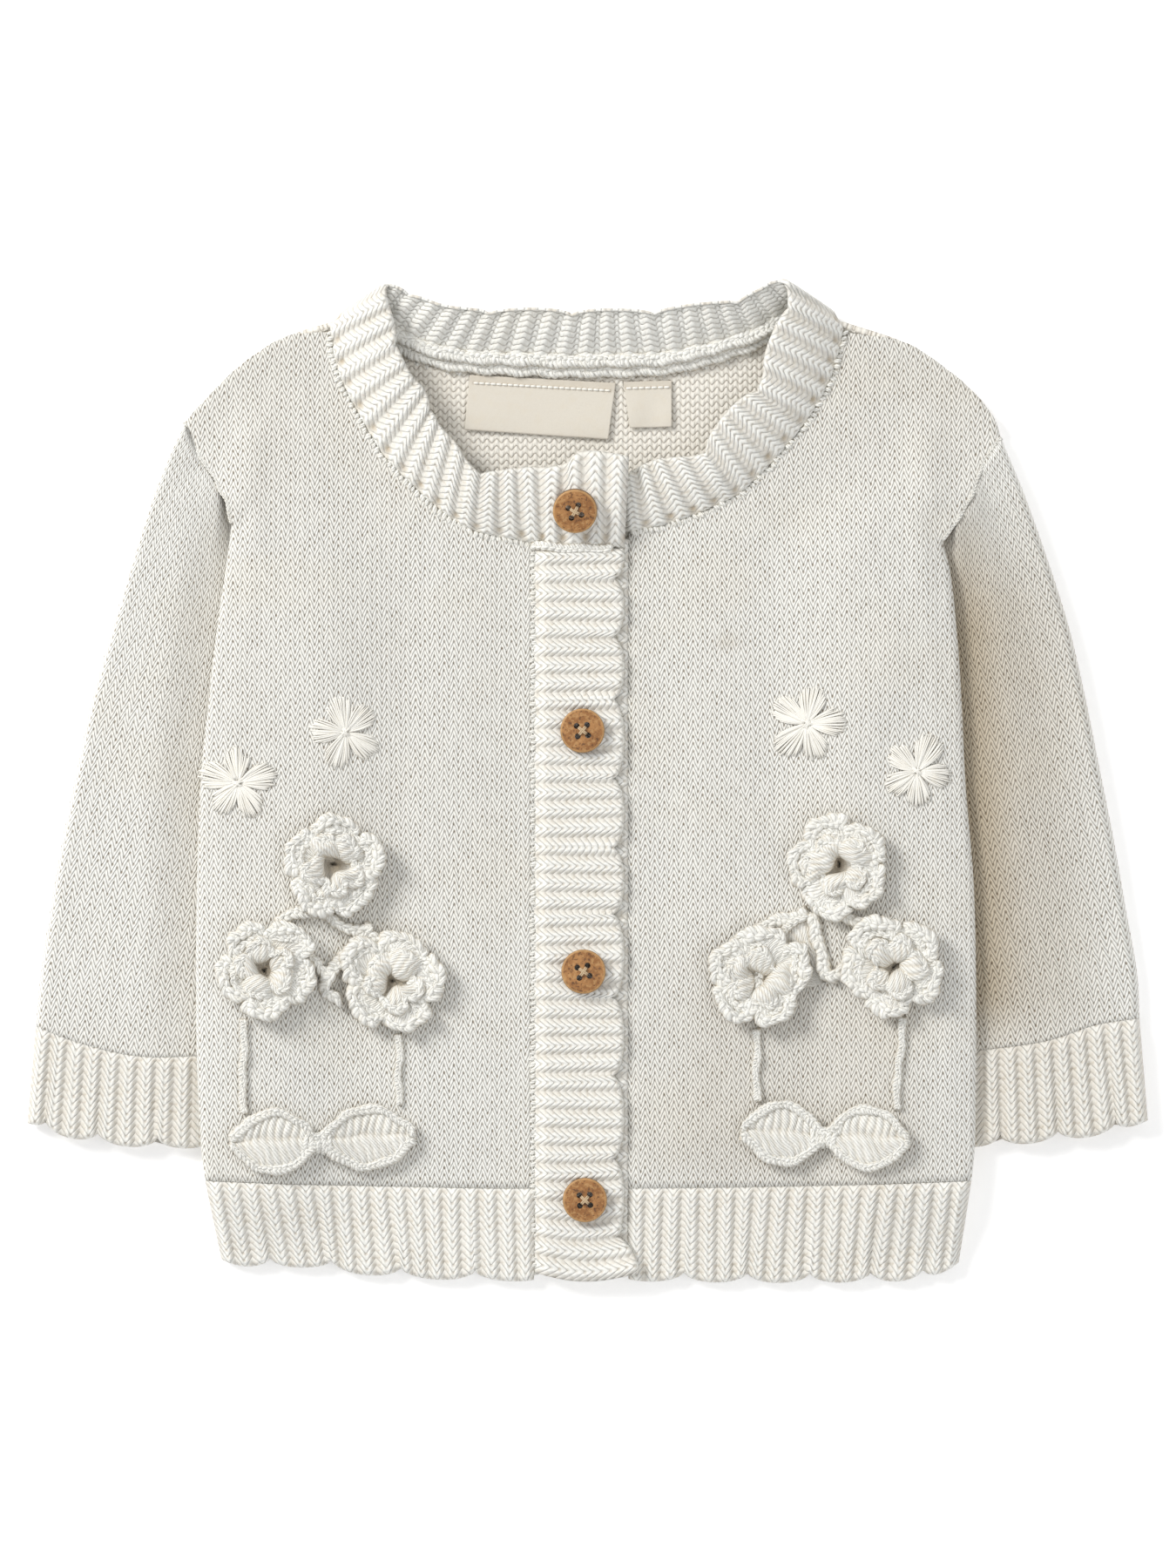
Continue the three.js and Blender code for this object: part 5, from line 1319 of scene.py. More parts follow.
@dataclass
class Sleeve:
    """A sleeve, a flattened tube that lies under the body's side."""

    sign: int
    top_count: int = 54
    under_count: int = 14
    rows: int = 120
    width: float = 58.0

    def plan(self, shares: Array, vs: Array) -> Array:
        """Plan points of the sleeve, from its outer fold to its inner one."""
        sign = self.sign
        column = 1 if sign < 0 else 2
        gap = np.array([sign * 0.1, -0.1])
        hidden = np.array([(float(lookup(SLEEVE_INNER, column, 66.0)), 66.0)])
        armhole = plan_points(ARMHOLE[sign], sign)[::-1]
        seam = along(spline(np.vstack([armhole, plan_points(hidden, sign)]) + gap))
        outer_rows = plan_points(SLEEVE_OUTER[::-1][:, [column, 0]], sign)[:-1]
        cuff_seam = plan_points(CUFF_SEAM[sign], sign)
        outer = along(spline(np.vstack([seam(np.array([0.0])), outer_rows, cuff_seam[:1]])))
        inner_table = SLEEVE_INNER[(SLEEVE_INNER[:, 0] > -70) & (SLEEVE_INNER[:, 0] < 66)][::-1]
        inner_rows = plan_points(inner_table[:, [column, 0]], sign)
        inner = along(spline(np.vstack([seam(np.array([1.0])), inner_rows, cuff_seam[-1:]])))
        return patch(seam, along(spline(cuff_seam)), outer, inner, shares, vs)

    def top_height(self, x: Array, y: Array, s: Array, v: Array) -> Array:
        """Height of the sleeve's top face."""
        clear = np.abs(x) - half_width(x, y)
        length_loft = lerp(1, 0.5, smoothstep(v, 0.5, 1)) * lerp(0.65, 1, smoothstep(v, 0, 0.2))
        loft = SLEEVE_LOFT * length_loft * smoothstep(clear, 0.5, 15)
        shoulder = (1 - smoothstep(v, 0, 0.22)) * 1.2 * smoothstep(clear, 0.5, 5)
        free = LAYERS + loft + shoulder * (1 - smoothstep(s, 0.1, 0.7))
        joined_up = (1 - smoothstep(v, 0.0, 0.17)) * smoothstep(clear, 0.2, 5)
        return lerp(free, np.maximum(free, front_top(x, y) - 0.3), joined_up)

    def build(self, finishes: Finishes) -> bpy.types.Object:
        """Make the sleeve as a tube of cloth and dress it.

        Args:
            finishes: the materials.

        Returns:
            The piece.
        """
        top = edge_spaced(self.top_count)
        under = edge_spaced(self.under_count)[::-1]
        ring = np.concatenate([top, under[1:]])
        below = np.concatenate([np.zeros(len(top), bool), np.ones(len(under) - 1, bool)])
        vs = np.linspace(0, 1, self.rows + 1)
        order = np.argsort(ring, kind="stable")
        plan = np.empty((len(vs), len(ring), 2))
        plan[:, order] = self.plan(ring[order], vs)
        x, y = plan[..., 0], plan[..., 1]
        s, v = np.meshgrid(ring, vs)
        from_fold = np.minimum(s, 1 - s) * self.width
        rounding = np.sqrt(1 - (1 - np.clip(from_fold / FOLD_RADIUS, 0, 1)) ** 2)
        high = self.top_height(x, y, s, v) + 0.6 * ripple(x, y) * rounding - edge_drop(v * 170, 0.8, 2.0)
        z = lerp(LAYERS / 2, np.where(below[None], 0.0, high), rounding)
        points = np.stack([x, y, z], axis=-1)
        around = np.where(below[None], 2 - s, s)
        stitches = np.stack([around * self.width / WALE, y / COURSE + 80], axis=-1)
        if self.sign < 0:
            points, stitches = points[:, ::-1], stitches[:, ::-1]
        dim = sleeve_painted_shade(self.sign, points[..., 0], points[..., 1])
        piece = grid_sheet(f"sleeve_{SIDE_NAMES[self.sign]}_knit", points, stitches, dim=dim)
        merge_doubles(piece)
        apply_modifier(piece, "SOLIDIFY", thickness=SHELL * MM, offset=-1.0, material_offset=1)
        dress(piece, finishes.knit, finishes.inside)
        settle(piece, "knit", f"sleeve_{SIDE_NAMES[self.sign]}")
        width, length = mean_size(points)
        return piece


@dataclass
class Cuff:
    """A ribbed cuff, a flattened tube with a scalloped edge."""

    sign: int
    under_count: int = 12
    rows: int = 48

    def build(self, finishes: Finishes) -> bpy.types.Object:
        """Make the cuff as a tube of ribbing and dress it.

        Args:
            finishes: the materials.

        Returns:
            The piece.
        """
        sign = self.sign
        width = float(CUFF_SEAM[sign][0, 0] - CUFF_SEAM[sign][-1, 0])
        ribs = round(width / RIB_PITCH)
        top = np.linspace(0, 1, ribs * 12 + 1)
        under = np.linspace(1, 0, self.under_count + 1)
        ring = np.concatenate([top, under[1:]])
        below = np.concatenate([np.zeros(len(top), bool), np.ones(len(under) - 1, bool)])
        vs = np.linspace(0, 1, self.rows + 1)
        seam = along(spline(plan_points(CUFF_SEAM[sign], sign)))(ring)
        edge = along(spline(plan_points(CUFF_EDGE[sign], sign)))(ring)
        edge[:, 1] += CUFF_NOTCH * scallop(ring, CUFF_NOTCHES[sign])
        plan = lerp(seam[None], edge[None], vs[:, None, None])
        x, y = plan[..., 0], plan[..., 1]
        s, v = np.meshgrid(ring, vs)
        clear = np.abs(x) - half_width(x, y)
        length = float(np.abs(seam[:, 1] - edge[:, 1]).mean())
        relief, hollow = rib_relief(s * ribs, v * length / COURSE)
        end = (1 - v) * length
        face = relief * smoothstep(v, 0, 0.09) * smoothstep(clear, 0.5, 3) * smoothstep(end, -0.4, 1.2)
        high = LAYERS + SLEEVE_LOFT * 0.5 * smoothstep(clear, 0.5, 15) - edge_drop(end, 0.8, 1.2)
        from_fold = np.minimum(s, 1 - s) * width
        rounding = np.sqrt(1 - (1 - np.clip(from_fold / FOLD_RADIUS, 0, 1)) ** 2)
        z = lerp(LAYERS / 2, np.where(below[None], 0.0, high), rounding)
        z = z + np.where(below[None], 0, face * rounding)
        points = np.stack([x, y, z], axis=-1)
        stitches = np.stack([np.where(below[None], 2 - s, s) * ribs, 80 - v * length / COURSE], axis=-1)
        if sign < 0:
            points, stitches, hollow = points[:, ::-1], stitches[:, ::-1], hollow[:, ::-1]
        dim = sleeve_painted_shade(sign, points[..., 0], points[..., 1])
        piece = grid_sheet(f"cuff_{SIDE_NAMES[sign]}_knit", points, stitches, hollow, dim)
        merge_doubles(piece)
        apply_modifier(piece, "SOLIDIFY", thickness=SHELL * MM, offset=-1.0)
        dress(piece, finishes.rib)
        settle(piece, "knit", f"cuff_{SIDE_NAMES[sign]}")
        mean_size(points)
        return piece


@dataclass
class ButtonholeBand:
    """The upper front band, its ribs running across to a scalloped free edge."""

    columns: int = 48

    def build(self, finishes: Finishes) -> bpy.types.Object:
        """Make the band as a shell of ribbing and dress it.

        Args:
            finishes: the materials.

        Returns:
            The piece.
        """
        ribs = round((BAND_TOP - BAND_BOTTOM) / RIB_PITCH)
        us, vs = np.linspace(0, 1, self.columns + 1), np.linspace(0, 1, ribs * 10 + 1)
        u, v = np.meshgrid(us, vs)
        y = lerp(BAND_BOTTOM, BAND_TOP, v) - BAND_DIP * (1 - v) ** 12 * np.sin(np.pi * u)
        flare = BAND_FLARE * smoothstep(-y, BAND_FLARE_FROM, 141)
        outer = BAND_TO + flare - BAND_NOTCH * scallop(y, BAND_NOTCHES)
        x = lerp(BAND_SEAM_X, outer, u)
        width = BAND_TO - BAND_SEAM_X
        relief, hollow = rib_relief(v * ribs + 0.1 * np.sin(v * 37) * u, u * width / COURSE)
        end = (1 - u) * width
        face = relief * smoothstep(u, 0, 0.13) * smoothstep(end, -0.4, 1.2)
        foot = (y + 143.2)
        z = band_under(x, y) + CLOTH + face - edge_drop(end, CLOTH / 2, 1.2) - edge_drop(foot, CLOTH / 2, 1.2)
        points = np.stack([x, y, z], axis=-1)
        stitches = np.stack([v * ribs + 0.1 * np.sin(v * 37) * u, 80 - u * width / COURSE], axis=-1)
        piece = grid_sheet("buttonhole_band_knit", points, stitches, hollow)
        apply_modifier(piece, "SOLIDIFY", thickness=SHELL * MM, offset=-1.0)
        dress(piece, finishes.rib)
        settle(piece, "knit", "buttonhole_band")
        return piece


@dataclass
class ButtonBand:
    """The lower front band, which shows at the notches of the upper one."""

    columns: int = 24

    def build(self, finishes: Finishes) -> bpy.types.Object:
        """Make the band as a shell of ribbing and dress it.

        Args:
            finishes: the materials.

        Returns:
            The piece.
        """
        ribs = round((BUTTON_BAND_TOP - BUTTON_BAND_BOTTOM) / RIB_PITCH)
        us, vs = np.linspace(0, 1, self.columns + 1), np.linspace(0, 1, ribs * 10 + 1)
        u, v = np.meshgrid(us, vs)
        x = lerp(BUTTON_BAND_FROM, BUTTON_BAND_TO, u)
        y = lerp(BUTTON_BAND_BOTTOM, BUTTON_BAND_TOP, v)
        relief, hollow = rib_relief(v * ribs, x / COURSE, 0.7)
        z = front_under(x, y) + CLOTH + relief * smoothstep(x, 5.5, 8.5) * smoothstep(-x, -11.6, -10.6)
        z = z - edge_drop(y - BUTTON_BAND_BOTTOM, CLOTH / 2, 1.2)
        points = np.stack([x, y, z], axis=-1)
        piece = grid_sheet("button_band_knit", points, np.stack([v * ribs, 80 - x / COURSE], axis=-1), hollow)
        apply_modifier(piece, "SOLIDIFY", thickness=SHELL * MM, offset=-1.0)
        dress(piece, finishes.rib)
        settle(piece, "knit", "button_band")
        return piece


@dataclass
class Neckband:
    """The ribbed strip round the neck, whose scalloped free edge stands up."""

    steps: int = 24
    rows: int = 38
    cloth: float = 0.8
    ribs: int = field(init=False, default=0)

    def frame(self) -> tuple[Array, Array, Array]:
        """The seam, the free edge and the length along the band, sample by sample."""
        height = lambda x, y, on: lerp(back_under(x, y), front_under(x, y), on) + CLOTH / 2
        seam_z = height(NECKBAND[:, 0], NECKBAND[:, 1], NECKBAND[:, 4]) + NECKBAND[:, 5]
        seam = spline(np.column_stack([NECKBAND[:, :2], seam_z]), centripetal=False, steps=self.steps)
        free = np.column_stack([NECKBAND[:, 2:4], NECKBAND[:, 6]])
        edge = spline(free, centripetal=False, steps=self.steps)
        middle = (seam + edge) / 2
        lengths = np.concatenate([[0], np.cumsum(np.linalg.norm(np.diff(middle, axis=0), axis=1))])
        return seam, edge, lengths

    def surface(self, us: Array, vs: Array) -> Array:
        """Points of the band's middle surface."""
        seam, edge, lengths = self.frame()
        at = us * lengths[-1]
        low = np.stack([np.interp(at, lengths, seam[:, k]) for k in range(3)], axis=-1)
        high = np.stack([np.interp(at, lengths, edge[:, k]) for k in range(3)], axis=-1)
        f = fract(at / NECK_SCALLOP + NECK_SCALLOP_PHASE)
        notch = NECK_NOTCH * scallop(f, [0.0, 1.0])
        reach = 1 - notch / np.linalg.norm(high - low, axis=1)
        share = vs[:, None] * reach[None]
        points = lerp(low[None], high[None], share[..., None])
        points[..., 2] += NECK_ARCH * np.sin(np.pi * vs)[:, None]
        return points

    def build(self, finishes: Finishes) -> bpy.types.Object:
        """Make the band as a shell of ribbing and dress it.

        Args:
            finishes: the materials.

        Returns:
            The piece.
        """
        _, _, lengths = self.frame()
        length = float(lengths[-1])
        self.ribs = round(length / NECK_RIB_PITCH)
        us, vs = np.linspace(0, 1, self.ribs * 10 + 1), np.linspace(0, 1, self.rows + 1)
        middle = self.surface(us, vs)
        along_u = np.gradient(middle, axis=1)
        along_v = np.gradient(middle, axis=0)
        normal = np.cross(along_u, along_v)
        normal /= np.linalg.norm(normal, axis=-1)[..., None]
        if normal[self.rows // 2, len(us) // 10, 2] < 0:
            normal = -normal
        u, v = np.meshgrid(us, vs)
        width = 24.0
        relief, hollow = rib_relief(u * self.ribs + 0.1 * np.sin(u * 61) * v, v * width / COURSE)
        end = (1 - v) * width
        face = relief * smoothstep(v, 0, 0.08) * smoothstep(end, -0.4, 1.4)
        out = self.cloth / 2 + face - edge_drop(end, self.cloth / 2, 1.3)
        points = middle + normal * out[..., None]
        stitches = np.stack([u * self.ribs + 0.1 * np.sin(u * 61) * v, 80 - v * width / COURSE], axis=-1)
        gutter = np.cos(np.pi * (u * self.ribs)) ** 6
        foot = gutter * np.exp(-(((v - 0.11) / 0.06) ** 2))
        points = points - normal * (0.5 * foot)[..., None]
        # Painted shade at the feet of the gutters, where the band dips.
        hollow = np.maximum(hollow, 1.3 * foot)
        points, stitches, hollow = points[::-1], stitches[::-1], hollow[::-1]
        piece = grid_sheet("neckband_knit", points, stitches, hollow)
        dress(piece, finishes.rib, finishes.rib_inside)
        apply_modifier(piece, "SOLIDIFY", thickness=self.cloth * MM, offset=-1.0, material_offset=1)
        settle(piece, "knit", "neckband")
        size = mean_size(points)
        return piece


@dataclass
class Rose:
    """A crocheted rose: an outer ring of petals, a ring of plump inner petals and a heart darkened by painted
    shade.
    """

    name: str
    x: float
    y: float
    radius: float
    turn: float
    reach: float
    towards: float
    seed: int = 0
    petals: int = 5

    def outline(self, angle: Array) -> Array:
        """Distance of the edge from the heart in a direction."""
        petal = np.abs(np.cos(self.petals / 2 * (angle - self.turn)))
        turned = np.arctan2(np.sin(angle - self.towards), np.cos(angle - self.towards))
        return self.radius * (0.84 + 0.16 * petal**0.7) + self.reach * np.exp(-((turned / 0.45) ** 2))

    def place(self, radius: Array, angle: Array, lift: Array) -> Array:
        """Points round the heart."""
        plan = np.stack([self.x + radius * np.cos(angle), self.y + radius * np.sin(angle)], axis=-1)
        return on_front(plan, lift)

    def ground(self, work: YarnWork) -> Array:
        """Add the flat outer ring, with its long radial stitches, and return its upper points."""
        angle, share = np.meshgrid(np.linspace(0, 2 * np.pi, 181), np.linspace(0, 1, 11), indexing="ij")
        stitch = np.abs(np.sin(angle * 19 + 1.2 * np.sin(angle * 3 + self.seed)))
        edge = np.sin(np.pi * share) ** 0.3
        radius = lerp(0.2, self.outline(angle) - 1.2, share)
        wave = 0.5 * np.sin(angle * self.petals + self.seed) * share
        lift = 1.4 + 2.3 * smoothstep(share, 0.12, 0.62) + wave
        top = self.place(radius, angle, lift + 0.42 * stitch * edge)
        under = self.place(radius, angle, np.maximum(lift - 0.9 * edge, 0.1) * edge + lift * (1 - edge))
        places = np.stack([angle * 4, share * 10], axis=-1)
        # Painted shade between the stitches and over the heart.
        hollow = 0.3 * (1 - stitch) + 0.85 * (1 - smoothstep(share, 0.08, 0.34))
        work.pad(top, under, places, hollow)
        return top

    def rim(self, work: YarnWork) -> None:
        """Add the braided edge of each outer petal."""
        for k in range(self.petals):
            t = np.linspace(-1, 1, 60)
            middle = self.turn + 2 * np.pi * k / self.petals + work.chance.uniform(-0.06, 0.06)
            angle = middle + t * np.pi / self.petals * 1.04
            turned_in = smoothstep(np.abs(t), 0.66, 1.02)
            radius = self.outline(angle) - 1.6 - turned_in * work.chance.uniform(3.2, 5.2)
            lift = 3.2 + work.chance.uniform(-0.3, 0.8) + 0.5 * np.cos(t * 2) - 0.9 * turned_in
            width, pitch = work.chance.uniform(3.8, 4.6), work.chance.uniform(6.6, 8.4)
            work.braid(self.place(radius, angle, lift), width, pitch)
            second = self.place(radius - work.chance.uniform(2.4, 3.2), angle, lift - 0.3)
            work.braid(second[4:-4], width * 0.72, pitch * 0.8)

    def puff(self, work: YarnWork, middle: float, size: float) -> None:
        """Add one plump inner petal of side by side stitches.

        Args:
            work: what the petal is added to.
            middle: its direction from the heart.
            size: its scale.
        """
        across, outward = np.meshgrid(np.linspace(-1, 1, 37), np.linspace(0, 1, 17), indexing="ij")
        inner, outer = 1.4 + work.chance.uniform(-0.7, 0.6), 10.2 * size
        belly = np.maximum(1 - np.abs(2 * outward - 1) ** 2.4, 0) ** 0.55
        dome = np.maximum(1 - across**2, 0) ** 0.42 * np.sin(np.pi * outward) ** 0.5
        skew = work.chance.uniform(-0.8, 0.8)
        along_petal = lerp(inner, outer, outward) + 1.3 * skew * across
        sideways = across * work.chance.uniform(4.5, 5.6) * size * belly + skew * (outward - 0.5) * 5
        plan = np.stack([
            self.x + along_petal * np.cos(middle) - sideways * np.sin(middle),
            self.y + along_petal * np.sin(middle) + sideways * np.cos(middle),
        ], axis=-1)
        phase = across * 2.9 + (outward - 0.5) * work.chance.uniform(-2.6, 2.6)
        stitch = np.abs(np.sin(np.pi * phase))
        height = (4.6 + work.chance.uniform(-0.4, 0.7)) * size
        top = on_front(plan, 0.9 + height * dome + 0.5 * stitch * dome)
        under = on_front(plan, np.full(plan.shape[:2], 0.9))
        places = np.stack([phase * 0.5, along_petal], axis=-1)
        # Painted shade between the stitches and round the foot of the dome.
        hollow = 0.6 * (1 - stitch) + 0.5 * (1 - smoothstep(dome, 0.2, 0.75))
        work.pad(top, under, places, hollow)

    def hook(self, work: YarnWork, middle: float, size: float) -> None:
        """Add the braid that runs round one inner petal."""
        t = np.linspace(-1, 1, 40)
        outward = np.cos(t * 1.9)
        radius = 5.4 + 2.9 * outward * size + work.chance.uniform(-0.3, 0.3)
        angle = middle + np.sin(t * 1.9) * 2.9 * size / radius
        lift = 3.9 + 0.9 * outward + work.chance.uniform(-0.3, 0.3)
        work.braid(self.place(radius, angle, lift), 2.9, pitch=6.2)

    def build(self, finishes: Finishes) -> bpy.types.Object:
        """Make the rose and dress it.

        Args:
            finishes: the materials.

        Returns:
            The piece.
        """
        work = YarnWork(f"{self.name}_crochet", self.seed)
        top = self.ground(work)
        self.rim(work)
        start = work.chance.uniform(0, 1)
        for k in range(self.petals):
            middle = start + 2 * np.pi * k / self.petals + work.chance.uniform(-0.22, 0.22)
            size = work.chance.uniform(0.82, 1.14)
            self.puff(work, middle, size)
            self.hook(work, middle, size)
        work.rumple(0.5)
        piece = work.build(finishes.yarn)
        settle(piece, "crochet", self.name)
        return piece


ROSES = [
    Rose("rose_right_top", -72.8, -23.2, 14.6, 0.3, 1.6, -1.6, 3),
    Rose("rose_right_outer", -92.3, -53, 14.4, 0.9, 2.2, 0.6, 5),
    Rose("rose_right_inner", -55.8, -56.8, 14.8, 0.1, 2.2, 2.4, 8),
    Rose("rose_left_top", 71.8, -23.2, 14.6, 0.6, 1.6, -1.6, 13),
    Rose("rose_left_inner", 48.8, -55.6, 14.6, 0.2, 2.6, 0.7, 21),
    Rose("rose_left_outer", 87.5, -52.2, 14.6, 0.8, 2.2, 2.5, 34),
]
# The chains between the roses: width, then the x and y of each point
CHAINS = [
    (3.9, [(-89.3, -39.5), (-83.8, -37.3), (-78, -36.5), (-70, -41), (-63.3, -43), (-59.5, -46)]),
    (3.9, [(-62.8, -41), (-67.8, -47), (-72.8, -53), (-75.8, -58.5), (-71, -62.5)]),
    (2.9, [(-86.3, -40), (-80.8, -47.5), (-74.3, -55.5)]),
    (3.9, [(63, -37), (55.8, -38.8), (48.3, -41.5)]),
    (3.9, [(67.5, -35.5), (77.5, -39.5), (88.8, -41)]),
    (4.2, [(63.8, -38), (66.3, -45.5), (69, -55.5), (75.8, -51)]),
]


@dataclass
class Fan:
    """The flat fan of long stitches between two of the roses."""

    x: float = 69.0
    y: float = -57.0
    middle: float = math.radians(150)
    spread: float = math.radians(40)
    reach: float = 20.0

    def add(self, work: YarnWork) -> None:
        """Add the fan and its braided edge."""
        angle, share = np.meshgrid(
            self.middle + np.linspace(-1, 1, 91) * self.spread, np.linspace(0, 1, 11), indexing="ij"
        )
        stitch = np.abs(np.sin(angle * 24))
        edge = (np.sin(np.pi * share) * np.sin(np.pi * np.linspace(0, 1, 91))[:, None]) ** 0.3
        radius = lerp(1.0, self.reach, share)
        plan = np.stack([self.x + radius * np.cos(angle), self.y + radius * np.sin(angle)], axis=-1)
        top = on_front(plan, 0.5 + (0.7 + 0.45 * stitch) * edge)
        under = on_front(plan, 0.5 - 0.3 * edge)
        # Painted shade between the fan's stitches.
        work.pad(top, under, np.stack([angle * 4, radius], axis=-1), 0.5 * (1 - stitch))
        round_heart = np.stack([np.cos(angle[:, 0]), np.sin(angle[:, 0])], axis=-1)
        rim = np.array([self.x, self.y]) + self.reach * round_heart
        work.braid(on_front(rim, 1.6), 3.0)


def build_chains(finishes: Finishes) -> None:
    """Make the chains between the roses, a piece for each front."""
    for sign in (-1, 1):
        work = YarnWork(f"chains_{SIDE_NAMES[sign]}", 50 + sign)
        for width, points in CHAINS:
            if points[0][0] * sign > 0:
                work.braid(on_front(spline(np.array(points)), 0.95), width)
        if sign > 0:
            Fan().add(work)
        work.rumple(0.45)
        settle(work.build(finishes.yarn), "crochet")


@dataclass
class LeafPair:
    """Two crocheted leaves end to end, with braided edges and a block of stitches that joins them."""

    name: str
    tip_a: tuple[float, float]
    middle: tuple[float, float]
    tip_b: tuple[float, float]
    half_width: float = 9.6
    waist: float = 2.4
    fullness: float = 0.75
    post: float = 2.2

    def along(self, u: Array) -> tuple[Array, Array, Array]:
        """The middle line and the half width at shares of the pair's length."""
        f = np.where(u < 0.5, u * 2, u * 2 - 1)
        first = (u < 0.5)[..., None]
        start = np.where(first, self.tip_a, self.middle)
        stop = np.where(first, self.middle, self.tip_b)
        point = lerp(start, stop, f[..., None])
        belly = np.maximum(np.sin(np.pi * np.clip(f, 0, 1)), 0) ** self.fullness
        return point[..., 0], point[..., 1], np.maximum(self.waist, self.half_width * belly)

    def edge(self, u: Array, side: Array, lift: Array) -> Array:
        """Points just inside the edge; side is 1 on the upper edge and -1 on the lower one."""
        x, y, half = self.along(u)
        return on_front(np.stack([x, y + side * np.maximum(half - 1.3, 0.2)], axis=-1), lift)

    def build(self, finishes: Finishes) -> bpy.types.Object:
        """Make the pair and dress it.

        Args:
            finishes: the materials.

        Returns:
            The piece.
        """
        work = YarnWork(f"{self.name}_crochet", len(self.name))
        u, v = np.meshgrid(np.linspace(0, 1, 221), np.linspace(-1, 1, 17), indexing="ij")
        x, y, half = self.along(u)
        plan = np.stack([x, y + v * (half - 0.8)], axis=-1)
        slant = np.where(v < 0, 0.35, -0.12) * v * half
        post = np.abs(np.sin(np.pi * (x + slant + 0.4 * np.sin(y)) / self.post)) ** 0.8
        groove = np.exp(-(((v - 0.1) / 0.1) ** 2))
        sunk = smoothstep(v, 0.0, 0.3)
        edge = np.clip(1 - v**8, 0, 1) * np.clip(np.sin(np.pi * u) * 12, 0, 1)
        lift = 0.4 + edge * (1.7 - 0.4 * sunk + 0.75 * post * (1 - 0.8 * groove) - 0.5 * groove)
        top, under = on_front(plan, lift), on_front(plan, np.full(lift.shape, 0.4) - 0.2 * edge)
        # Painted shade between the posts and in the groove.
        hollow = 0.42 * (1 - post) + 0.25 * groove
        work.pad(top, under, np.stack([x * 0.25, v * half], axis=-1), hollow)
        for start, stop in ((0.012, 0.5), (0.47, 0.988)):
            t = np.linspace(start, stop, 80)
            for side in (1.0, -1.0):
                work.braid(self.edge(t, np.full(80, side), 1.95), 3.1, pitch=4.6)
        at = np.linspace(-1, 1, 9)
        for k in range(5):
            block_x = self.middle[0] - 3.4 + 1.6 * k + 0.3 * at
            block = np.stack([block_x, self.middle[1] - 0.6 + 2.7 * at], axis=-1)
            work.strand(on_front(block, 2.2 - 1.2 * at**4), 0.85, 8)
        work.rumple(0.3)
        piece = work.build(finishes.yarn)
        settle(piece, "crochet", self.name)
        return piece


LEAF_PAIRS = [
    LeafPair("leaves_right", (-103, -102.8), (-77.3, -102.2), (-49, -100.9)),
    LeafPair("leaves_left", (43.8, -99.6), (67.8, -101), (92.3, -102)),
]
# Columns: x, top, bottom, lean
STEMS = {
    "stem_right_outer": (-98.8, -69, -94.2, 0.0), "stem_right_inner": (-54.5, -73.4, -91.8, 0.4),
    "stem_left_inner": (48.3, -72, -91, 0.3), "stem_left_outer": (90, -68.5, -93.4, -1.6),
}


def build_stems(finishes: Finishes) -> None:
    """Make the four stems of chain stitch."""
    for name, (x, top, bottom, lean) in STEMS.items():
        work = YarnWork(f"{name}_chain", round(abs(x)))
        t = np.linspace(0, 1, 40)
        plan = np.stack([x + lean * t + 0.3 * np.sin(t * 7), lerp(top + 1.5, bottom, t)], axis=-1)
        work.braid(on_front(plan, 0.25), 2.7, pitch=4.0)
        work.rumple(0.22)
        settle(work.build(finishes.yarn), "crochet", name)


@dataclass
class Daisy:
    """An embroidered flower of long straight stitches."""

    x: float
    y: float
    seed: int
    radius: float = 11.0
    petals: int = 5
    threads: int = 21
    spread: float = math.radians(26)

    def add(self, work: YarnWork) -> None:
        """Add every stitch of the flower."""
        chance = np.random.default_rng(self.seed)
        t = np.linspace(0, 1, 9)
        start = chance.uniform(0, 1.2)
        for k in range(self.petals):
            middle = start + 2 * np.pi * k / self.petals + chance.uniform(-0.12, 0.12)
            size = chance.uniform(0.88, 1.06)
            for i in range(self.threads):
                off = lerp(-1, 1, i / (self.threads - 1)) + chance.uniform(-0.06, 0.06)
                reach = self.radius * size * (1 - 0.2 * off**2) + chance.uniform(-1.1, 0.5)
                angle = middle + self.spread * off
                radius = lerp(chance.uniform(0.2, 1.6), reach, t)
                bend = 0.35 * np.sin(np.pi * t) * off
                plan = np.stack([
                    self.x + radius * np.cos(angle) - bend * np.sin(angle),
                    self.y + radius * np.sin(angle) + bend * np.cos(angle),
                ], axis=-1)
                arch = np.sin(np.pi * np.clip(t * 0.9 + 0.1, 0, 1)) ** 0.6
                lift = -SEAT + 0.1 + chance.uniform(0.25, 0.8) * arch
                work.strand(on_front(plan, lift), 0.27 - 0.05 * t, sides=6)

    def knot(self, work: YarnWork) -> None:
        """Add the few stitches that tie the middle down."""
        chance = np.random.default_rng(self.seed + 100)
        t = np.linspace(-1, 1, 9)
        for _ in range(6):
            angle = chance.uniform(0, np.pi)
            reach = chance.uniform(1.2, 2.1)
            shift = chance.uniform(-0.5, 0.5)
            plan = np.stack([
                self.x + reach * t * np.cos(angle) - shift * np.sin(angle),
                self.y + reach * t * np.sin(angle) + shift * np.cos(angle),
            ], axis=-1)
            work.strand(on_front(plan, 0.6 - 0.7 * t**2), 0.3, sides=5)


DAISIES = [Daisy(-69.5, 14.8, 1), Daisy(-100.3, 0.3, 2), Daisy(62.8, 17.3, 3), Daisy(94.3, 3.5, 4)]


def build_daisies(finishes: Finishes) -> None:
    """Make the embroidered flowers, a piece for each front."""
    for sign in (-1, 1):
        work = YarnWork(f"embroidery_{SIDE_NAMES[sign]}", 70 + sign)
        for daisy in DAISIES:
            if daisy.x * sign > 0:
                daisy.add(work)
                daisy.knot(work)
        settle(work.build(finishes.thread), "crochet")


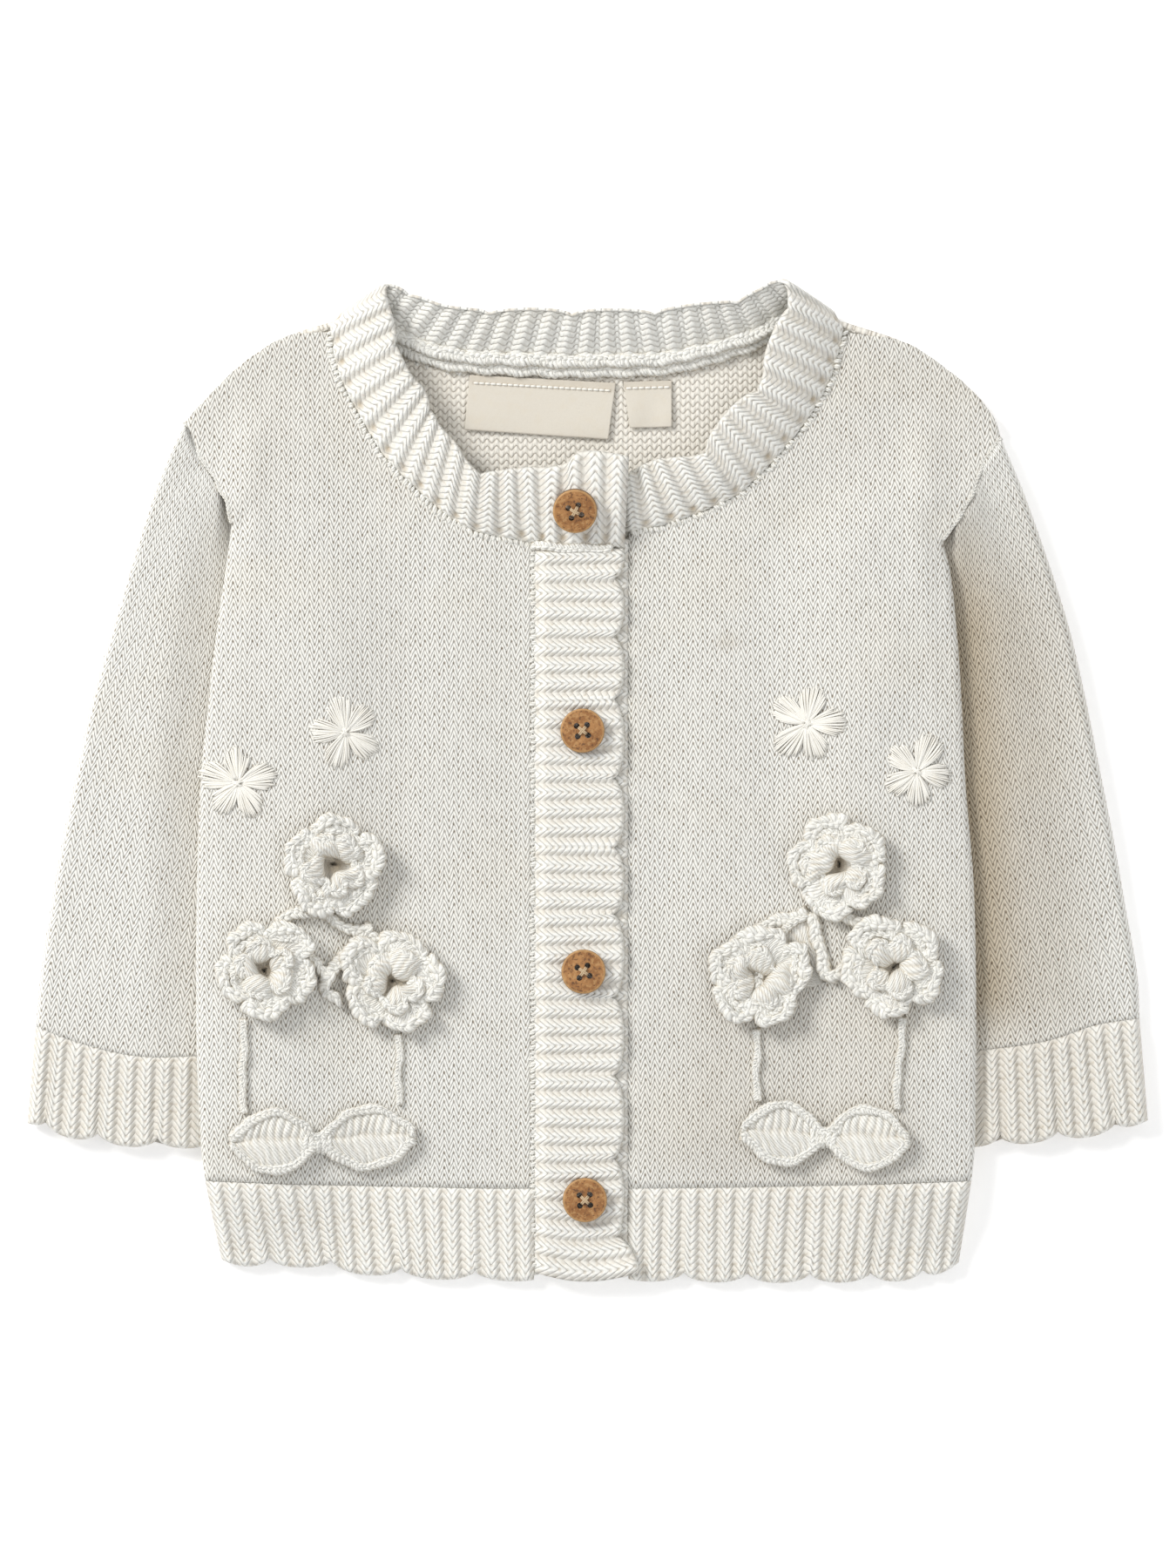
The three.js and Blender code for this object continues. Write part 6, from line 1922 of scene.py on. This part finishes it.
@dataclass
class Button:
    """A coconut button with four holes, sewn on through a cross of thread."""

    number: int
    x: float
    y: float
    turn: float
    radius: float = 6.35
    thickness: float = 2.5
    hole_radius: float = 0.85
    spread: float = 2.1
    tilt_clearance: float = 0.25

    def seat(self) -> tuple[Vector, Vector]:
        """The middle of the button's underside, and the way that it faces."""
        lift = RIB_HEIGHT + 0.3
        if self.number > 1:
            x, y = np.array(self.x), np.array(self.y)
            return Vector((self.x, self.y, float(band_under(x, y)) + CLOTH + lift)), Vector((0, 0, 1))
        right, here, left = NECKBAND[:3]
        low = [float(front_under(row[0], row[1])) + CLOTH / 2 + row[5] for row in (right, here, left)]
        share = (self.y - here[1]) / (here[3] - here[1])
        slope_y = (here[6] - low[1]) / (here[3] - here[1])
        slope_x = share * (right[6] - left[6]) / (right[2] - left[2])
        height = lerp(low[1], here[6], share) + NECK_ARCH * math.sin(math.pi * share)
        up = Vector((-slope_x, -slope_y, 1)).normalized()
        middle = Vector((self.x, self.y, height)) + up * (CLOTH / 2 + lift + self.tilt_clearance)
        return middle, up

    def holes(self) -> list[tuple[float, float]]:
        """The middles of the four holes."""
        angles = [(i + 0.5) * math.pi / 2 for i in range(4)]
        return [(self.spread * math.cos(a), self.spread * math.sin(a)) for a in angles]

    def cut_holes(self, piece: bpy.types.Object) -> None:
        """Drill the four holes."""
        for x, y in self.holes():
            deselect()
            bpy.ops.mesh.primitive_cylinder_add(
                vertices=24, radius=self.hole_radius * MM, depth=4 * self.thickness * MM,
                location=(x * MM, y * MM, 0),
            )
            drill = bpy.context.object
            apply_modifier(piece, "BOOLEAN", object=drill, operation="DIFFERENCE", solver="EXACT")
            bpy.data.objects.remove(drill, do_unlink=True)

    def mark_round(self, mesh: bpy.types.Mesh) -> None:
        """Give the button its round map: its own x and y in radii, and 2 on its side."""
        layer = mesh.uv_layers[0] if mesh.uv_layers else mesh.uv_layers.new()
        layer.name = "round"
        for polygon in mesh.polygons:
            aside = abs(polygon.normal.z) < 0.4
            for corner in polygon.loop_indices:
                point = mesh.vertices[mesh.loops[corner].vertex_index].co / (self.radius * MM)
                layer.data[corner].uv = (2.0, 0.0) if aside else (point.x, point.y)

    def sew(self, place: Matrix) -> YarnWork:
        """Gather the stitches that cross between the holes."""
        work = YarnWork(f"button_{self.number}_thread", self.number)
        t = np.linspace(-0.76, 0.76, 19)
        top = self.thickness
        for (ax, ay), (bx, by) in zip(self.holes()[:2], self.holes()[2:]):
            for shift in (-0.22, 0.22):
                side = np.array([-(by - ay), bx - ax]) / math.hypot(bx - ax, by - ay) * shift
                x = (ax + bx) / 2 + (bx - ax) / 2 * t + side[0]
                y = (ay + by) / 2 + (by - ay) / 2 * t + side[1]
                z = top + 0.5 - 0.5 * np.abs(t) ** 3 - 2.0 * smoothstep(np.abs(t), 0.56, 0.74)
                points = [place @ (Vector(p) * MM) for p in zip(x, y, z)]
                work.strand(np.array([tuple(p) for p in points]) / MM, 0.24, sides=6)
        return work

    def build(self, finishes: Finishes) -> bpy.types.Object:
        """Turn the button, drill it, put it in its place and sew it on.

        Args:
            finishes: the materials.

        Returns:
            The piece.
        """
        deselect()
        depth = self.thickness * MM
        bpy.ops.mesh.primitive_cylinder_add(
            vertices=72, radius=self.radius * MM, depth=depth, location=(0, 0, 0)
        )
        piece = bpy.context.object
        piece.name = piece.data.name = f"button_{self.number}_shell"
        bpy.ops.object.mode_set(mode="EDIT")
        bpy.ops.mesh.select_all(action="SELECT")
        bpy.ops.transform.translate(value=(0, 0, depth / 2))
        bpy.ops.object.mode_set(mode="OBJECT")
        apply_modifier(piece, "BEVEL", width=0.55 * MM, segments=4, limit_method="ANGLE")
        self.cut_holes(piece)
        self.mark_round(piece.data)
        middle, up = self.seat()
        tilt = Vector((0, 0, 1)).rotation_difference(up).to_matrix().to_4x4()
        turn = tilt @ Matrix.Rotation(self.turn, 4, "Z")
        place = Matrix.Translation(middle * MM) @ turn
        piece.data.transform(place)
        piece.data.materials.clear()
        piece.data.materials.append(finishes.coconut)
        activate(piece)
        bpy.ops.object.shade_smooth_by_angle(angle=math.radians(35))
        settle(piece, "coconut", f"button_{self.number}")
        settle(self.sew(place).build(finishes.sewing), "crochet")
        return piece


BUTTONS = [
    Button(1, -3.6, 79, 0.3), Button(2, -1.6, 15.3, 0.1),
    Button(3, -1.3, -53.8, 0.2), Button(4, -0.9, -119.3, 0.05),
]


@dataclass
class Label:
    """A bare cotton tape label inside the neck, sewn along its top."""

    name: str
    corners: list[tuple[float, float]]
    wave: float
    dashes: int
    base: float = 2.1
    tape: float = 0.7

    def top(self, u: Array, v: Array) -> Array:
        """Points of the label's upper face; u runs across and v from its foot to its top."""
        low_right, low_left, high_left, high_right = (np.array(c, dtype=float) for c in self.corners)
        u3, v3 = u[..., None], v[..., None]
        plan = lerp(lerp(low_right, low_left, u3), lerp(high_right, high_left, u3), v3)
        wave = self.wave * (1 - v) * (0.6 + 0.4 * np.sin(u * 7 + 1)) * np.sin(np.pi * v + 0.5)
        lift = self.base + self.tape + wave
        return np.concatenate([plan, lift[..., None]], axis=-1)

    def build(self, finishes: Finishes) -> bpy.types.Object:
        """Make the label as a sheet of tape with its row of stitches.

        Args:
            finishes: the materials.

        Returns:
            The piece.
        """
        u, v = np.meshgrid(np.linspace(0, 1, 121), np.linspace(0, 1, 33))
        points = self.top(u, v)
        gap = np.cos(np.pi * (u - 0.03) / 0.94 * self.dashes) ** 8
        # Darker towards the top and along the foot, with painted shade in the gaps between the stitches.
        hollow = 0.22 * smoothstep(v, 0.8, 0.9) + 0.2 * np.exp(-((v / 0.03) ** 2))
        hollow = hollow + 0.75 * gap * np.exp(-(((v - 0.86) / 0.022) ** 2))
        piece = grid_sheet(f"{self.name}_tape", points, np.stack([u, v], axis=-1), hollow)
        apply_modifier(piece, "SOLIDIFY", thickness=0.6 * MM, offset=-1.0)
        dress(piece, finishes.tape)
        settle(piece, "label_tape", self.name)
        mean_size(points)
        work = YarnWork(f"{self.name}_stitches", 9)
        for k in range(self.dashes):
            t = np.linspace(0.16, 0.84, 6)
            across = (k + t) / self.dashes * 0.94 + 0.03
            path = self.top(across, np.full(6, 0.86))
            path[:, 2] += 0.2 - 0.3 * np.abs(np.linspace(-1, 1, 6)) ** 4
            work.strand(path, 0.34, sides=6)
        settle(work.build(finishes.thread), "label_tape")
        return piece


LABELS = [
    Label("label_main", [(-35.5, 101.8), (5.8, 99), (8, 115.3), (-34, 117.6)], 0.5, 24),
    Label("label_size", [(12, 102.3), (24, 102.6), (24, 116), (10.2, 115.6)], 0.7, 7),
]


def build_seams(finishes: Finishes) -> None:
    """Make the linked seam inside the neck and the stitches where the neckband meets the fronts."""
    band = Neckband()
    steps = band.steps
    _, _, lengths = band.frame()
    first, last = NECK_ROWS[0]
    inside = lengths[first * steps + 30 : last * steps - 30] / lengths[-1]
    work = YarnWork("neck_linking", 11)
    for share, width, pitch in ((0.23, 4.6, 5.0), (0.08, 4.4, 5.6)):
        path = band.surface(inside, np.array([share]))[0]
        path[:, 2] += 0.5 - NECK_ARCH * math.sin(math.pi * share) * 0.5
        work.braid(path, width, pitch)
    path = band.surface(inside, np.array([-0.04]))[0] + np.array([0.0, 0.0, 0.7])
    work.bumps(path, 3.1, 2.6, 0.85)
    work.rumple(0.3)
    settle(work.build(finishes.yarn), "knit")
    work = YarnWork("band_seam", 4)
    ends = np.array([(BAND_SEAM_X - 0.3, -138.0), (BAND_SEAM_X - 0.3, 66.0)])
    plan = lerp(ends[:1], ends[1:], np.linspace(0, 1, 300)[:, None])
    height = front_top(plan[:, 0], plan[:, 1]) + 0.05
    work.bumps(np.column_stack([plan, height]), 1.6, 1.9, 0.62)
    work.rumple(0.2)
    settle(work.build(finishes.yarn), "knit")
    for sign in (-1, 1):
        low, high = NECK_ROWS[sign]
        rows = (low, high - 1) if sign < 0 else (low + 1, high)
        plan = neck_edge(rows, 0.6)(np.linspace(0, 1, 160))
        work = YarnWork(f"neck_seam_{SIDE_NAMES[sign]}", 12)
        height = front_top(plan[:, 0], plan[:, 1]) + 0.1
        work.bumps(np.column_stack([plan, height]), 1.7, 1.9, 0.66)
        if sign < 0:
            plan = neck_spline((0, 1), steps)[steps // 3 : 3 * steps + 1] - np.array([0.0, 0.4])
            height = band_under(plan[:, 0], plan[:, 1]) + CLOTH + 0.6
            work.braid(np.column_stack([plan, height]), 3.0, pitch=5.2)
        rim = spline(plan_points(ARMHOLE[sign], sign))
        height = front_top(rim[:, 0], rim[:, 1]) - 0.45
        work.braid(np.column_stack([rim, height]), 1.5, pitch=3.6)
        work.rumple(0.22)
        settle(work.build(finishes.yarn), "knit")


@dataclass
class Studio:
    """The pale floor, the soft light and the camera above."""

    frame_height: float = 450.0
    distance: float = 2400.0
    focus_height: float = 7.0

    def floor(self) -> bpy.types.Object:
        """A wide pale floor under the cardigan."""
        deselect()
        bpy.ops.mesh.primitive_plane_add(size=6.0, location=(0, 0, 0))
        floor = bpy.context.object
        floor.name = "floor"
        bpy.ops.object.mode_set(mode="EDIT")
        bpy.ops.mesh.subdivide(number_cuts=3)
        bpy.ops.object.mode_set(mode="OBJECT")
        material = bpy.data.materials.new("floor_paper")
        material.use_nodes = True
        graph = Graph(material.node_tree)
        shader = material.node_tree.nodes["Principled BSDF"]
        place = graph.add("ShaderNodeTexCoord").outputs["Object"]
        grain = graph.add("ShaderNodeTexNoise", {"Vector": place, "Scale": 300.0, "Detail": 2.0}).outputs[0]
        colour = graph.mix(graph.ease(grain, 0.3, 0.7), (0.93, 0.93, 0.93), (0.94, 0.94, 0.94))
        graph.tree.links.new(colour, shader.inputs["Base Color"])
        shader.inputs["Emission Color"].default_value = (1.0, 1.0, 1.0, 1.0)
        shader.inputs["Emission Strength"].default_value = 0.3
        shader.inputs["Roughness"].default_value = 0.9
        shader.inputs["Specular IOR Level"].default_value = 0.1
        floor.data.materials.append(material)
        return floor

    @staticmethod
    def lamp(
        name: str, place: tuple[float, float, float], size: float, power: float,
        colour: tuple[float, float, float],
    ) -> None:
        """Add a square soft light that looks at the cardigan.

        Args:
            name: the lamp's name.
            place: where it hangs, in metres.
            size: its side, in metres.
            power: its power in watts.
            colour: its colour.
        """
        bpy.ops.object.light_add(type="AREA", location=place)
        lamp = bpy.context.object
        lamp.name = name
        lamp.data.shape = "SQUARE"
        lamp.data.size = size
        lamp.data.energy = power
        lamp.data.color = colour
        direction = -lamp.location
        lamp.rotation_euler = direction.to_track_quat("-Z", "Y").to_euler()

    def camera(self) -> bpy.types.Object:
        """The camera straight above, with a long lens."""
        height = (self.distance + self.focus_height) * MM
        bpy.ops.object.camera_add(location=(0, 0, height), rotation=(0, 0, 0))
        camera = bpy.context.object
        camera.name = "camera_above"
        camera.data.sensor_fit = "VERTICAL"
        camera.data.sensor_height = 36.0
        camera.data.lens = 36.0 * self.distance / self.frame_height
        camera.data.clip_end = 20.0
        bpy.context.scene.camera = camera
        return camera

    def build(self) -> None:
        """Set up the floor, the lamps, the room light and the camera."""
        self.floor()
        self.lamp("key_lamp", (-1.5, 1.15, 1.35), 0.8, 38.5, (1.0, 0.985, 0.96))
        self.lamp("fill_lamp", (1.2, -0.6, 2.0), 1.8, 9.0, (1.0, 1.0, 1.0))
        world = bpy.data.worlds.new("room")
        world.use_nodes = True
        background = world.node_tree.nodes["Background"]
        background.inputs["Color"].default_value = (1.0, 1.0, 1.0, 1.0)
        background.inputs["Strength"].default_value = 0.55
        bpy.context.scene.world = world
        self.camera()
        bpy.context.scene.view_settings.view_transform = "Standard"
        bpy.context.scene.view_settings.look = "None"


def main() -> None:
    """Build the cardigan, the floor, the light and the camera."""
    logging.basicConfig(level=logging.INFO, format="%(message)s")
    finishes = Finishes()
    for sign in (-1, 1):
        Sleeve(sign).build(finishes)
    Back().build(finishes)
    for sign in (-1, 1):
        Front(sign).build(finishes)
    for hem in hems():
        hem.build(finishes)
    for sign in (-1, 1):
        Cuff(sign).build(finishes)
    ButtonBand().build(finishes)
    ButtonholeBand().build(finishes)
    Neckband().build(finishes)
    build_seams(finishes)
    for made in (*ROSES, *LEAF_PAIRS, *BUTTONS, *LABELS):
        made.build(finishes)
    build_chains(finishes)
    build_stems(finishes)
    build_daisies(finishes)
    Studio().build()


if __name__ == "__main__":
    main()
